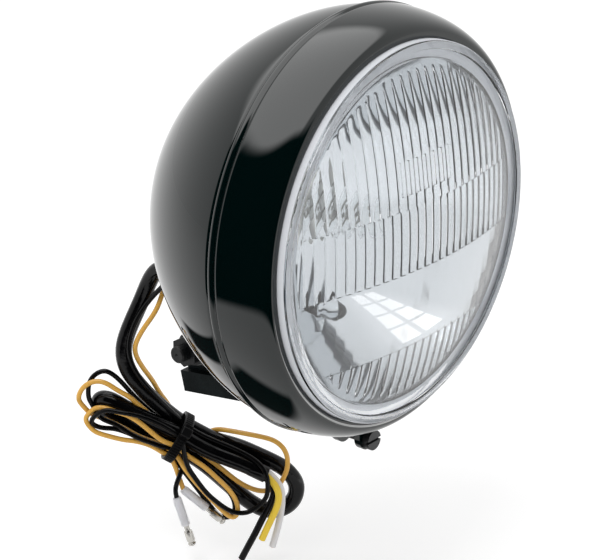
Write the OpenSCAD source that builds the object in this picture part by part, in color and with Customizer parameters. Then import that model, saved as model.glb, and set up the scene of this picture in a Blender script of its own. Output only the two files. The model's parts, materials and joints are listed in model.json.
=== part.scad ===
// Round bottom-mount motorcycle headlight with its wiring harness.
// The lamp faces -Y and its axis is level. The origin is the mouth of the threaded hole in the mount
// block's lower face. Millimetres, +Z up.

/* [Lens] */
// Radius of the glass that the trim ring leaves open
lens_r = 83; // [82:0.5:83.5]
// Radius of the sphere that the lens face follows
dome_r = 250; // [230:5:300]
// Thickness of the plain glass
glass_t = 4; // [3.5:0.1:4.5]
// Radius of the round field that carries the flutes
flute_field_r = 72.5; // [70:0.5:73]
// Width of one flute
flute_pitch = 5.6; // [5:0.1:7]
// Height of a flute above the plain inner face
flute_rise = 1.1; // [0.6:0.1:1.4]

/* [Trim ring and bucket] */
// Largest radius of the trim ring, at its rear bead
ring_r = 95.2; // [95:0.1:96]
// Distance from the lens plane to the seam between ring and bucket
seam_s = 31.1; // [30:0.1:33]
// Radius of the bucket behind the seam
bucket_r = 93.4; // [93:0.1:93.6]
// Distance from the lens plane to the nose of the bucket
bucket_end = 123.3; // [115:0.5:130]
// Exponent of the bucket's curve: 2 is an ellipse, less is more pointed
bucket_power = 1.67; // [1.5:0.01:2]
// Thickness of the pressed steel
sheet = 1.2; // [0.8:0.1:1.5]

/* [Reflector and bulb] */
// Focal length of the reflector
focal = 26; // [24:1:28]
// Radius of the reflector's neck
neck_r = 21.5; // [20:0.5:22]
// Radius of the bulb glass
capsule_r = 8.6; // [8:0.1:9]

/* [Mount] */
// Distance of the pivot behind the lens plane
pivot_s = 115; // [112:1:118]
// Distance of the pivot below the lamp axis
pivot_drop = 80; // [79:0.5:82]
// Lean of the mount block against the lamp, nose up
block_lean = 7; // [0:1:7]
// Width of the mount block
block_w = 20; // [18:1:22]
// Distance from the pivot to the block's lower face
block_drop = 22; // [21:0.5:24]
// Distance of the fixing hole in front of the pivot
hole_forward = 20; // [18:1:22]
// Radius of the threaded fixing hole
hole_r = 4.25; // [4:0.05:5]
// Radius of the pivot bolt
bolt_r = 4; // [3.5:0.5:4]

/* [Harness] */
// Diameter of the black sleeve
sleeve_d = 8; // [7:0.5:9]
// Diameter of a heavy lead
lead_d = 3.4; // [3:0.1:3.6]
// Diameter of a thin pilot wire
wire_d = 2.4; // [2:0.1:2.6]

/* [Hidden] */
$fn = 96;
round_fn = 48;

// Lens: places along the lamp axis, counted from the lens plane towards the bucket
dome_edge_r = 76;
dome_sag = dome_r - sqrt(dome_r * dome_r - dome_edge_r * dome_edge_r);
dome_centre_s = dome_r - dome_sag;
step_r = 87.5;
step_s = 5;
flange_back_s = 8;
// Lower and upper edge of each flute zone, as heights above the lamp axis, and its share of the pitch.
// The band between the last two zones is plain.
flute_zones = [[16.4, 73, 1], [-12.3, 16, 0.95], [-73, -48, 1]];
flute_offset = 1.4;
flute_root = 0.1;

// Trim ring
lip_s = 3;
lip_r = 83.6;
crown_r = 86;
bead_r = 2;
bead_s = seam_s - bead_r;
ring_rise = ring_r - 0.4 - crown_r;

// Bucket mouth, inside the trim ring's bead
mouth_r = 91;
mouth_s = 22;
tail = bucket_end - seam_s;

// Lower lugs and the screw that draws ring and bucket together
lug_x = 6.5;
lug_t = 3;
ring_lug_s = 20;
bucket_lug_s = 33;
lug_end_r = 106.5;
ring_screw_r = 2.5;
ring_screw_z = -101.5;

// Reflector
vertex_s = 71.5;
skin = 1;
rim_r = 80;

// Mount
bolt_slack = 0.05;
tongue_x = 6;
ear_gap = 0.3;
ear_t = 3;
ear_r = 8.5;
ear_x = tongue_x + ear_gap;
washer_t = 1.6;
nut_t = 5;
bolt_end_x = 21;
saddle_x = 14;
saddle_front = 60;
saddle_back = 88;
bracket_t = 3;
plate_t = 2.5;
// The bracket's two holes lie at this distance behind the lens plane, turned this far to each side
bracket_hole_s = 66;
bracket_hole_turn = 6.1;
bracket_bore_r = 2.6;

// Where the lamp's own zero lies: the lens plane on the lamp axis
lamp_at = [0,
    hole_forward * cos(block_lean) + block_drop * sin(block_lean) - pivot_s,
    -hole_forward * sin(block_lean) + block_drop * cos(block_lean) + pivot_drop];

// Cable hole: on the bucket's lower back, square to its surface
cable_r = 36;
cable_s = seam_s + tail * pow(1 - pow(cable_r / bucket_r, bucket_power), 1 / bucket_power);
cable_lean = 30;
cable_bore_r = 8;
wire_hole_x = 5.9;

// The harness hangs in an upright plane that is turned 51 degrees about Z.
// Its points are [along the plane, height from the lamp axis, out of the plane].
plane_turn = -51;
plane_s = 150;

sleeve_route = [[25, -40, 20], [18, -45, 13], [10, -49, 6], [3, -53, 0], [-1, -61, -3], [-5, -71, -3],
    [-10, -82, -2], [-13.5, -93, -1], [-12, -103, 0], [-6.5, -111, 0.5], [-1.2, -117.8, 0]];
orange_route = [[28.8, -38.4, 15.8], [25, -40.5, 12.7], [18, -45, 5], [12, -50, -1], [8, -57, -2],
    [6, -64, 0], [3, -72, 3], [-2, -79, 4], [-6, -86, 3.5], [-8, -93.5, 2.5], [-3.8, -103, 0.5],
    [0, -110, -2.5], [3, -118, -5.5]];
black_route = [[21.4, -38.4, 24.9], [17.7, -40.5, 21.8], [15, -45, 17.5], [11.5, -51, 12.5],
    [7.5, -57, 7.5], [3, -63, 3.5], [-1.5, -69, 1.8], [-6, -76, 2.4], [-9.3, -84, 3.2],
    [-10.5, -92, 4.2], [-8.5, -100, 5.2], [-4, -107.5, 5.6], [1, -114, 5.2], [6.5, -121, 3.6],
    [11.5, -127, 2]];
orange_end_route = [[10.3, -149, 4.6], [10.8, -153.5, 4], [11.8, -157.5, 3.5], [14, -165, 3]];
black_end_route = [[14.2, -149.5, 1.5], [14, -153, 4], [12.5, -156.5, 6.2], [10.8, -161, 7.2],
    [10.5, -164.5, 7], [11, -168, 6.5]];
yellow_route = [[56.5, -158.2, 7.2], [59.5, -162, 8.6], [60.3, -167, 9], [59, -172.5, 9],
    [56.5, -178.5, 8.6], [54, -184.5, 8.2], [52, -189.5, 8]];
white_route = [[60.8, -162.3, 4.6], [61.8, -169, 4], [61.3, -176.5, 3.2], [59.8, -185, 3],
    [57, -195.8, 3]];
lead_black_route = [[56.5, -170.5, 5.6], [54, -175.5, 6.4], [51.5, -180.5, 7], [48.5, -187, 7.5],
    [45, -194, 7.5], [42, -200.5, 7]];

// Each bullet terminal lies along a line that starts where its wire ends
bullet_upper_line = [[14, -165, 3], [34, -183, 3]];
bullet_lower_line = [[11, -168, 6.5], [18.5, -194, 6.5]];

// Leads inside the bucket, as [share or half of their spread, distance behind the lens plane, height]
plug_lead_route = [[1, 97.5, -3], [1, 102, -5], [0.9, 104, -12], [0.8, 102, -20], [0.7, 101, -26],
    [0.67, 103.5, -31.5], [0.67, 107.9, -34]];
pilot_lead_route = [[2, 66, -45], [2, 74, -46], [2.2, 84, -45], [2.4, 93, -41.5], [2.5, 101.3, -35.4],
    [2.5, 105.7, -37.9]];

// The hank: the folded run of sleeve and wires, as one flat solid from its left to its right fold.
// Each end is a round lobe that is wider than the waist under the tie.
hank_left = [-20, -120];
hank_right = [59, -167];
hank_r = 14;
hank_waist = 20;
hank_t = 18;
hank_lean = atan2(hank_right[1] - hank_left[1], hank_right[0] - hank_left[0]);
hank_length = norm(hank_right - hank_left);
left_lobe = 16;
right_lobe = 28;
tie_along = 37;
bullet_sleeve_length = 15;
tie_t = 1.3;
tie_w = 4.8;

// A point of the bucket's curve: share 0 is the seam, 1 is the nose
function shell_point(r, depth, share) =
    [r * pow(cos(90 * share), 2 / bucket_power),
     seam_s + depth * pow(sin(90 * share), 2 / bucket_power)];
function shell_r(s) = bucket_r * pow(1 - pow((s - seam_s) / tail, bucket_power), 1 / bucket_power);
function shell_line(r, depth, steps = 30) = [for (i = [0:steps]) shell_point(r, depth, i / steps)];

// A quarter of an ellipse from the flat lip of the trim ring to its crown
function ring_line(rise, run, steps = 16) =
    [for (i = [0:steps]) [crown_r + rise * sin(90 * i / steps), bead_s - run * cos(90 * i / steps)]];

// The reflector's parabola, from neck to rim
function bowl_line(out, steps = 20) =
    [for (i = [0:steps]) let (r = neck_r + (rim_r - neck_r) * i / steps)
        [r, vertex_s + out - r * r / (4 * focal)]];

function routed(points) = [for (p = points) in_plane(p)];
function reversed(list) = [for (i = [len(list) - 1:-1:0]) list[i]];

// Harness plane to lamp coordinates
function in_plane(p) =
    [p[0] * cos(plane_turn) + p[2] * sin(plane_turn),
     plane_s + p[0] * sin(plane_turn) - p[2] * cos(plane_turn),
     p[1]];

function unit(v) = v / norm(v);
function way(route, i) = unit(route[min(i + 1, len(route) - 1)] - route[max(i - 1, 0)]);

module lamp() {
    translate(lamp_at) children();
}

// A profile of [radius, distance behind the lens plane] turned about the lamp axis
module turned(profile) {
    rotate([-90, 0, 0]) rotate_extrude() polygon(profile);
}

module rod_y(r, from, to) {
    translate([0, from, 0]) rotate([-90, 0, 0]) cylinder(r = r, h = to - from, $fn = round_fn);
}

module rod_x(r, from, to) {
    translate([from, 0, 0]) rotate([0, 90, 0]) cylinder(r = r, h = to - from, $fn = round_fn);
}

// A lengthwise plate, drawn as [distance behind the lens plane, height]
module side_plate(x, t) {
    translate([x, 0, 0]) rotate([90, 0, 90]) linear_extrude(t) children();
}

// A tube of flat-sided rings, one at each point of its route. Its bends lie roughly square to out.
module tube(route, d, sides = 8, out = [-sin(plane_turn), cos(plane_turn), 0]) {
    rings = [for (i = [0:len(route) - 1])
        let (t = way(route, i), u = unit(cross(t, out)), v = cross(t, u))
        for (k = [0:sides - 1]) route[i] + d / 2 * (cos(360 * k / sides) * u + sin(360 * k / sides) * v)];
    last = (len(route) - 1) * sides;
    polyhedron(rings, concat(
        [[for (k = [0:sides - 1]) k]],
        [for (i = [0:len(route) - 2]) for (k = [0:sides - 1]) let (a = i * sides + k,
            b = i * sides + (k + 1) % sides) [a, a + sides, b + sides, b]],
        [[for (k = [sides - 1:-1:0]) last + k]]), convexity = 4);
}

// Moves a piece from the lamp's zero to the cable hole, along the hole's own axis
module at_cable_hole() {
    translate([0, cable_s, -cable_r]) rotate([-cable_lean, 0, 0]) children();
}

// Moves a piece to each of the bracket's two holes. Z is then square to the bucket's surface, outwards.
module at_bracket_holes() {
    lean = atan(shell_r(bracket_hole_s - 0.5) - shell_r(bracket_hole_s + 0.5));
    for (a = [-bracket_hole_turn, bracket_hole_turn]) rotate([0, a, 0])
        translate([0, bracket_hole_s, -shell_r(bracket_hole_s)]) rotate([180 + lean, 0, 0]) children();
}

module bracket_bores() {
    at_bracket_holes() translate([0, 0, -15]) cylinder(r = bracket_bore_r, h = 30, $fn = round_fn);
}

// Moves a piece to the harness plane: X along it, Y out of it, Z up
module at_plane() {
    translate([0, plane_s, 0]) rotate([0, 0, plane_turn]) children();
}

// Moves a piece to the pivot
module at_pivot() {
    translate([0, pivot_s, -pivot_drop]) children();
}

// Bucket
module lug(from_s, top_r) {
    difference() {
        union() {
            translate([-lug_x, from_s, -lug_end_r + lug_x]) cube([2 * lug_x, lug_t, lug_end_r - lug_x - top_r]);
            translate([0, 0, -lug_end_r + lug_x]) rod_y(lug_x, from_s, from_s + lug_t);
        }
        translate([0, 0, ring_screw_z]) rod_y(ring_screw_r + 0.25, from_s - 1, from_s + lug_t + 1);
    }
}

module bucket_solid(grow) {
    turned(concat(shell_line(bucket_r + grow, tail + grow), [[0, seam_s]]));
}

module bucket() {
    color("#14171a") lamp() difference() {
        union() {
            difference() {
                turned(concat([[mouth_r - sheet, mouth_s], [mouth_r, mouth_s], [mouth_r, seam_s + 0.2]],
                    [for (p = shell_line(bucket_r, tail)) [p[0], max(p[1], seam_s + 0.2)]],
                    reversed([for (p = shell_line(bucket_r - sheet, tail - sheet))
                        [p[0], max(p[1], seam_s + 0.2 + sheet)]]),
                    [[mouth_r - sheet, seam_s + 0.2 + sheet]]));
                at_cable_hole() rod_y(cable_bore_r, -20, 20);
            }
            difference() {
                lug(bucket_lug_s, bucket_r - 3);
                bucket_solid(-sheet / 2);
            }
        }
        bracket_bores();
    }
}

// Trim ring
module ring_shell() {
    outer = ring_line(ring_rise, bead_s - lip_s);
    inner = ring_line(ring_rise - sheet, bead_s - lip_s - sheet);
    rotate([-90, 0, 0]) rotate_extrude() {
        difference() {
            polygon(concat([[lip_r, lip_s]], outer, reversed(inner), [[lip_r, lip_s + sheet]]));
            translate([ring_r - 0.35, bead_s - 2.3]) rotate(45) square(0.7, center = true);
        }
        translate([ring_r - bead_r, bead_s]) circle(r = bead_r, $fn = 32);
    }
}

module trim_ring() {
    color("#101315") lamp() {
        ring_shell();
        difference() {
            lug(ring_lug_s, crown_r + 7.5);
            turned(concat(ring_line(ring_rise - 0.4, bead_s - lip_s - 0.4), [[0, bead_s], [0, lip_s]]));
        }
    }
}

// Lens
// A point of the inner face, as [distance from the dome's own level axis, place along it]
function flute_point(x, rise) = [sqrt(pow(dome_r - glass_t, 2) - x * x) - rise, x];

// One zone of flutes on the inner face, swept about the dome's level axis. Its back lies in the glass.
module flute_zone(low, high, share) {
    pitch = flute_pitch * share;
    count = floor((flute_field_r + pitch) / pitch);
    rises = [flute_root, flute_rise * share, flute_rise * share];
    fronts = [for (k = [-count:count]) for (j = [0:2])
        flute_point((k + j / 3) * pitch + flute_offset, rises[j])];
    backs = [for (k = [count + 2 / 3:-4:-count]) flute_point(k * pitch + flute_offset, -glass_t / 2)];
    inner_r = dome_r - glass_t;
    from = -90 - asin(high / inner_r);
    to = -90 - asin(low / inner_r);
    rotate([0, 90, 0]) rotate([0, 0, from]) rotate_extrude(angle = to - from)
        polygon(concat(fronts, backs, [flute_point(-count * pitch + flute_offset, -glass_t / 2)]));
}

module lens() {
    front = -0.6;
    color("#dfe6e8") lamp() {
        turned([[dome_edge_r - 1.2, 0.15], [dome_edge_r, 0], [79.5, 0], [79.8, front], [lens_r - 1, front],
            [lens_r, 0.4], [lens_r, step_s], [step_r, step_s], [step_r, flange_back_s],
            [dome_edge_r - 1.2, flange_back_s]]);
        difference() {
            intersection() {
                translate([0, dome_centre_s, 0]) sphere(r = dome_r, $fn = 200);
                rod_y(dome_edge_r - 1.2, -20, flange_back_s);
            }
            translate([0, dome_centre_s, 0]) sphere(r = dome_r - glass_t, $fn = 200);
        }
        intersection() {
            rod_y(flute_field_r, -20, flange_back_s);
            translate([0, dome_centre_s, 0]) union() for (z = flute_zones) flute_zone(z[0], z[1], z[2]);
        }
    }
}

module lens_gasket() {
    color("#1c1c1c") lamp() turned([[lip_r + 0.2, lip_s + sheet], [crown_r, lip_s + sheet],
        [crown_r + 1.2, step_s], [lip_r + 0.2, step_s]]);
}

module reflector() {
    hole_z = -45;
    color("#c9ccd0") lamp() difference() {
        turned(concat([[neck_r - 1.5, vertex_s + skin - 4.4], [neck_r - 1.5, vertex_s - 4.4]],
            bowl_line(0), [[rim_r, flange_back_s], [step_r, flange_back_s], [step_r, flange_back_s + skin],
            [rim_r + skin, flange_back_s + skin]], reversed(bowl_line(skin))));
        translate([0, 0, hole_z]) rod_y(5, 30, 80);
    }
}

module retaining_ring() {
    color("#8b8f92") lamp() difference() {
        turned([[82.5, 9], [90.4, 9], [90.4, 15], [89.4, 15], [89.4, 10.2], [82.5, 10.2]]);
        for (a = [30, 150, 270]) rotate([0, a, 0]) translate([86, 0, 0]) rod_y(1.3, 5, 20);
    }
}

module retaining_screws() {
    color("#9a9da0") lamp() for (a = [30, 150, 270]) rotate([0, a, 0]) translate([86, 0, 0]) {
        rod_y(1.25, 9.4, 10.2);
        rod_y(2.2, 10.2, 11.8);
    }
}

module top_catch() {
    color("#2a2c2e") lamp() translate([-8, 0, 0]) rotate([90, 0, 90]) linear_extrude(16)
        polygon([[18, 87.9], [28, 87.9], [28, 89.1], [19.2, 89.1], [19.2, 91.8], [18, 91.8]]);
}

// Bulb
module bulb_glass() {
    color("#e8eef0") lamp() difference() {
        union() {
            rod_y(capsule_r, 30, 66);
            translate([0, 30, 0]) sphere(r = capsule_r, $fn = round_fn);
        }
        rod_y(capsule_r - 0.9, 30, 67);
        translate([0, 30, 0]) sphere(r = capsule_r - 0.9, $fn = round_fn);
    }
}

module bulb_filaments() {
    color("#b9a36a") lamp() {
        rod_y(1, 34, 39.4);
        translate([0, 0, -3.6]) rod_y(0.7, 33, 66);
        translate([0, 0, 3.6]) rod_y(0.7, 33, 66);
        translate([0, 0, 1]) rod_y(0.7, 44, 50);
        translate([-3.9, 42, -3]) cube([7.8, 10, 0.8]);
        for (s = [34, 38.7, 44, 49.3]) translate([-0.35, s, -3.6]) cube([0.7, 0.7, 7.2]);
    }
}

module bulb_base() {
    flange_s = vertex_s + skin - 4.4;
    color("#b7babd") lamp() {
        turned([[0, 66], [capsule_r + 2, 66], [capsule_r + 2, flange_s], [neck_r - 0.3, flange_s],
            [neck_r - 0.3, flange_s + 1.4], [capsule_r + 3, flange_s + 1.4], [capsule_r + 3, 80], [0, 80]]);
        for (a = [0, 90, 180]) rotate([0, a, 0]) translate([-3.9, 80, 7.2]) cube([7.8, 9, 0.8]);
    }
}

// A bent spring wire: a hinge bar, two legs across the bulb's flange and their hooked ends
module bulb_clip() {
    wire_r = 0.6;
    leg_x = 14;
    wire_s = vertex_s + skin - 4.4 + 1.4 + wire_r;
    color("#d0d2d4") lamp() {
        for (x = [-leg_x, leg_x]) {
            translate([x, wire_s, -21]) cylinder(r = wire_r, h = 42, $fn = 16);
            translate([x, wire_s, -21]) sphere(r = wire_r, $fn = 16);
            translate([x, wire_s, 21]) sphere(r = wire_r, $fn = 16);
            translate([x, 0, -21]) rod_y(wire_r, wire_s - 1.4, wire_s);
        }
        translate([0, wire_s, 21]) rod_x(wire_r, -leg_x, leg_x);
    }
}

module dust_boot() {
    color("#222222") lamp() turned([[33.8, 61.7], [36, 60.3], [36.2, 63], [33, 70], [27, 73.5], [19, 75.5],
        [18, 80.2], [16.6, 80.2], [17.2, 74.2], [26, 72.2], [31.6, 69], [33.8, 63.5]]);
}

module bulb_plug() {
    color("#e7e4da") lamp() difference() {
        translate([-12, 80.5, -11]) cube([24, 17, 22]);
        for (a = [0, 90, 180]) rotate([0, a, 0]) translate([-4.2, 78, 6.9]) cube([8.4, 12, 1.4]);
    }
}

// Three leads, from the plug to the grommet's inner face
module inner_leads() {
    spread = 6;
    for (i = [-1:1])
        color(["#efc63a", "#ededed", "#1b1b1b"][i + 1]) lamp() tube([for (p = plug_lead_route)
            [p[0] * spread * i, p[1], p[2]]], 2.6, out = [1, 0, 0]);
}

// Pilot lamp
module pilot_bulb() {
    color("#f2f2ee") lamp() translate([0, 0, -45]) {
        rod_y(4.5, 40, 50);
        translate([0, 40, 0]) sphere(r = 4.5, $fn = 32);
    }
}

module pilot_holder() {
    color("#2b2b2b") lamp() translate([0, 0, -45]) {
        rod_y(4.9, 50, 60);
        rod_y(7, 60, 66);
    }
}

module pilot_leads() {
    for (side = [-1, 1])
        color(side < 0 ? "#d9942f" : "#1b1b1b") lamp() tube([for (p = pilot_lead_route)
            [p[0] * side, p[1], p[2]]], 2, out = [1, 0, 0]);
}

// Screw, nut and plain hexagon
module hexagon(across, from, to) {
    translate([0, from, 0]) rotate([-90, 0, 0]) cylinder(r = across / sqrt(3), h = to - from, $fn = 6);
}

module ring_screw() {
    color("#17191b") lamp() translate([0, 0, ring_screw_z]) difference() {
        union() {
            rod_y(ring_screw_r, ring_lug_s - 0.5, 44);
            rod_y(4.6, ring_lug_s - 3.4, ring_lug_s);
        }
        translate([-5, ring_lug_s - 3.5, -0.6]) cube([10, 1.5, 1.2]);
    }
}

module ring_nut() {
    color("#17191b") lamp() translate([0, 0, ring_screw_z]) difference() {
        hexagon(8, bucket_lug_s + lug_t, bucket_lug_s + lug_t + 4);
        rod_y(ring_screw_r, 30, 50);
    }
}

// Bracket
module ear_outline() {
    difference() {
        union() {
            translate([pivot_s, -pivot_drop]) circle(r = ear_r, $fn = round_fn);
            polygon([[76, -74], [96, -50], [pivot_s + ear_r * cos(62), -pivot_drop + ear_r * sin(62)],
                [pivot_s + ear_r * cos(-112), -pivot_drop + ear_r * sin(-112)], [84, -77.5]]);
        }
        translate([pivot_s, -pivot_drop]) circle(r = bolt_r + 0.2, $fn = round_fn);
    }
}

module mount_bracket() {
    color("#1b1e20") lamp() difference() {
        union() {
            intersection() {
                bucket_solid(bracket_t);
                translate([-saddle_x, saddle_front, -100]) cube([2 * saddle_x, saddle_back - saddle_front, 60]);
            }
            side_plate(ear_x, ear_t) ear_outline();
            side_plate(-ear_x - ear_t, ear_t) ear_outline();
        }
        bucket_solid(0);
        bracket_bores();
    }
}

module bracket_plate() {
    color("#6e7275") lamp() difference() {
        intersection() {
            bucket_solid(-sheet);
            translate([-saddle_x, saddle_front, -100]) cube([2 * saddle_x, saddle_back - saddle_front - 4, 60]);
        }
        bucket_solid(-sheet - plate_t);
        bracket_bores();
    }
}

module bracket_screws() {
    nut_top = -sheet - plate_t - 0.2;
    color("#17191b") lamp() at_bracket_holes() {
        translate([0, 0, nut_top - 6]) cylinder(r = 2.5, h = 6 - nut_top + bracket_t, $fn = round_fn);
        translate([0, 0, nut_top - 4]) cylinder(r = 8 / sqrt(3), h = 4, $fn = 6);
        translate([0, 0, bracket_t]) cylinder(r = 4.4, h = 2.6, $fn = round_fn);
    }
}

// Mount block: everything in it is drawn from the pivot and leaned with it
module mount_block() {
    front = -36;
    back = 8;
    base_top = -12;
    color("#202427") lamp() at_pivot() rotate([-block_lean, 0, 0]) difference() {
        union() {
            translate([-block_w / 2, 0, 0]) rotate([90, 0, 90]) linear_extrude(block_w)
                polygon([[front, -block_drop], [front, base_top + 1.5], [front + 1.5, base_top],
                    [back + 1.2, base_top], [back, -block_drop]]);
            translate([-tongue_x, 0, 0]) rotate([90, 0, 90]) linear_extrude(2 * tongue_x) union() {
                circle(r = back, $fn = round_fn);
                polygon([[-back, 0], [-14, base_top - 1], [back, base_top - 1], [back, 0]]);
            }
        }
        rod_x(bolt_r + bolt_slack, -20, 20);
        translate([0, -hole_forward, -block_drop - 1]) cylinder(r = hole_r, h = 20, $fn = round_fn);
    }
}

module pivot_bolt() {
    color("#1d2022") lamp() at_pivot() {
        difference() {
            union() {
                rod_x(bolt_r, -bolt_end_x + 0.6, 12);
                translate([-bolt_end_x, 0, 0]) rotate([0, 90, 0])
                    cylinder(r1 = bolt_r - 0.6, r2 = bolt_r, h = 0.6, $fn = round_fn);
            }
            translate([-bolt_end_x - 0.1, 0, 0]) rotate([0, 90, 0]) cylinder(r1 = 0.9, r2 = 0, h = 0.9, $fn = 24);
        }
        translate([ear_x + ear_t + washer_t, 0, 0]) rotate([0, 90, 0])
            cylinder(r = 13 / sqrt(3), h = 5.3, $fn = 6);
    }
}

module pivot_nut() {
    start = -ear_x - ear_t - washer_t - nut_t;
    color("#1d2022") lamp() at_pivot() difference() {
        translate([start, 0, 0]) rotate([0, 90, 0]) cylinder(r = 13 / sqrt(3), h = nut_t, $fn = 6);
        rod_x(bolt_r, start - 1, start + nut_t + 1);
    }
}

module pivot_washers() {
    color("#33373a") lamp() at_pivot() for (x = [-ear_x - ear_t - washer_t, ear_x + ear_t])
        difference() {
            rod_x(8, x, x + washer_t);
            rod_x(bolt_r + 0.2, x - 1, x + washer_t + 1);
        }
}

// Harness
module cable_grommet() {
    color("#151515") lamp() at_cable_hole() difference() {
        rotate([-90, 0, 0]) rotate_extrude($fn = round_fn) polygon([[0, -4], [11, -4], [11, -1.9], [7.9, -1.6],
            [7.9, 0.5], [11.5, 0.8], [11.5, 2.2], [9.2, 3.4], [8.2, 8], [0, 8]]);
        rod_y(sleeve_d / 2 + 0.2, 3, 9);
        for (x = [-wire_hole_x, wire_hole_x]) translate([x, 0, 1]) rod_y(wire_d / 2 + 0.3, 4, 9);
    }
}

module harness_sleeve() {
    color("#1a1a1a") lamp() tube(routed(sleeve_route), sleeve_d, 10);
}

module harness_hank() {
    color("#222222") lamp() at_plane() translate([0, hank_t / 2, 0]) rotate([90, 0, 0])
        translate(hank_left) rotate(hank_lean) linear_extrude(hank_t) union() {
            circle(r = hank_r, $fn = round_fn);
            translate([0, -hank_r]) square([left_lobe, 2 * hank_r]);
            translate([left_lobe, 0]) circle(r = hank_r, $fn = round_fn);
            translate([0, -hank_waist / 2]) square([hank_length, hank_waist]);
            translate([hank_length - right_lobe, 0]) circle(r = hank_r, $fn = round_fn);
            translate([hank_length - right_lobe, -hank_r]) square([right_lobe, 2 * hank_r]);
            translate([hank_length, 0]) circle(r = hank_r, $fn = round_fn);
        }
}

module cable_tie() {
    color("#0e0e0e") lamp() at_plane() rotate([90, 0, 0]) translate(hank_left) rotate(hank_lean)
        translate([tie_along - tie_w / 2, 0, 0]) rotate([90, 0, 90]) {
            linear_extrude(tie_w) difference() {
                square([hank_waist + 0.4 + 2 * tie_t, hank_t + 0.4 + 2 * tie_t], center = true);
                square([hank_waist + 0.4, hank_t + 0.4], center = true);
            }
            translate([hank_waist / 2 - 5, hank_t / 2 + 0.2 + tie_t, -0.6]) cube([6.5, 4, tie_w + 1.2]);
        }
}

module orange_wire() {
    color("#d9942f") lamp() tube(routed(orange_route), wire_d);
}

module black_wire() {
    color("#1b1b1b") lamp() tube(routed(black_route), wire_d);
}

module orange_end() {
    color("#d9942f") lamp() tube(routed(orange_end_route), wire_d);
}

module black_end() {
    color("#1b1b1b") lamp() tube(routed(black_end_route), wire_d);
}

// Moves a piece to a line in the harness plane, with its Z along that line
module along(line) {
    from = line[0];
    to = line[1];
    at_plane() translate([from[0], -from[2], from[1]])
        rotate([0, -atan2(to[1] - from[1], to[0] - from[0]), 0]) rotate([0, 90, 0]) children();
}

module bullet(line) {
    color("#c8c9c6") lamp() along(line) translate([0, 0, bullet_sleeve_length]) {
        cylinder(r = 1.3, h = 4, $fn = 24);
        translate([0, 0, 4]) cylinder(r = 1.95, h = 5, $fn = 24);
        translate([0, 0, 9]) cylinder(r1 = 1.2, r2 = 1.95, h = 1.2, $fn = 24);
        translate([0, 0, 10.2]) cylinder(r1 = 1.95, r2 = 1, h = 1.4, $fn = 24);
    }
}

module bullet_sleeve(line) {
    color("#e6e6e0") lamp() along(line) cylinder(r = 2.4, h = bullet_sleeve_length, $fn = 24);
}

module bullet_upper() {
    bullet(bullet_upper_line);
}

module bullet_lower() {
    bullet(bullet_lower_line);
}

module bullet_sleeve_upper() {
    bullet_sleeve(bullet_upper_line);
}

module bullet_sleeve_lower() {
    bullet_sleeve(bullet_lower_line);
}

module lead_yellow() {
    color("#efc63a") lamp() tube(routed(yellow_route), lead_d);
}

module lead_white() {
    color("#ededed") lamp() tube(routed(white_route), lead_d);
}

module lead_black() {
    color("#1b1b1b") lamp() tube(routed(lead_black_route), lead_d);
}

bucket();
trim_ring();
lens();
lens_gasket();
reflector();
retaining_ring();
retaining_screws();
top_catch();
bulb_glass();
bulb_filaments();
bulb_base();
bulb_clip();
dust_boot();
bulb_plug();
inner_leads();
pilot_bulb();
pilot_holder();
pilot_leads();
ring_screw();
ring_nut();
mount_bracket();
bracket_plate();
bracket_screws();
mount_block();
pivot_bolt();
pivot_nut();
pivot_washers();
cable_grommet();
harness_sleeve();
harness_hank();
cable_tie();
orange_wire();
black_wire();
orange_end();
black_end();
bullet_upper();
bullet_lower();
bullet_sleeve_upper();
bullet_sleeve_lower();
lead_yellow();
lead_white();
lead_black();
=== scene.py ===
# %% [markdown]
# # A round motorcycle headlight
#
# This lesson dresses a headlight whose construction is already fixed: a gloss black pressed bucket and
# trim ring, a fluted glass lens over a mirrored reflector, a small cast mount and a tied wiring harness.
# The construction comes in as a frame of plain pieces in metres. Every new piece is made in that frame, so
# nothing has to be fitted by eye. We go from the camera to the wires, then to the finishes, and then from
# the largest shell to the smallest screw.

# %% Load the frame
import json
import math

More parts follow.
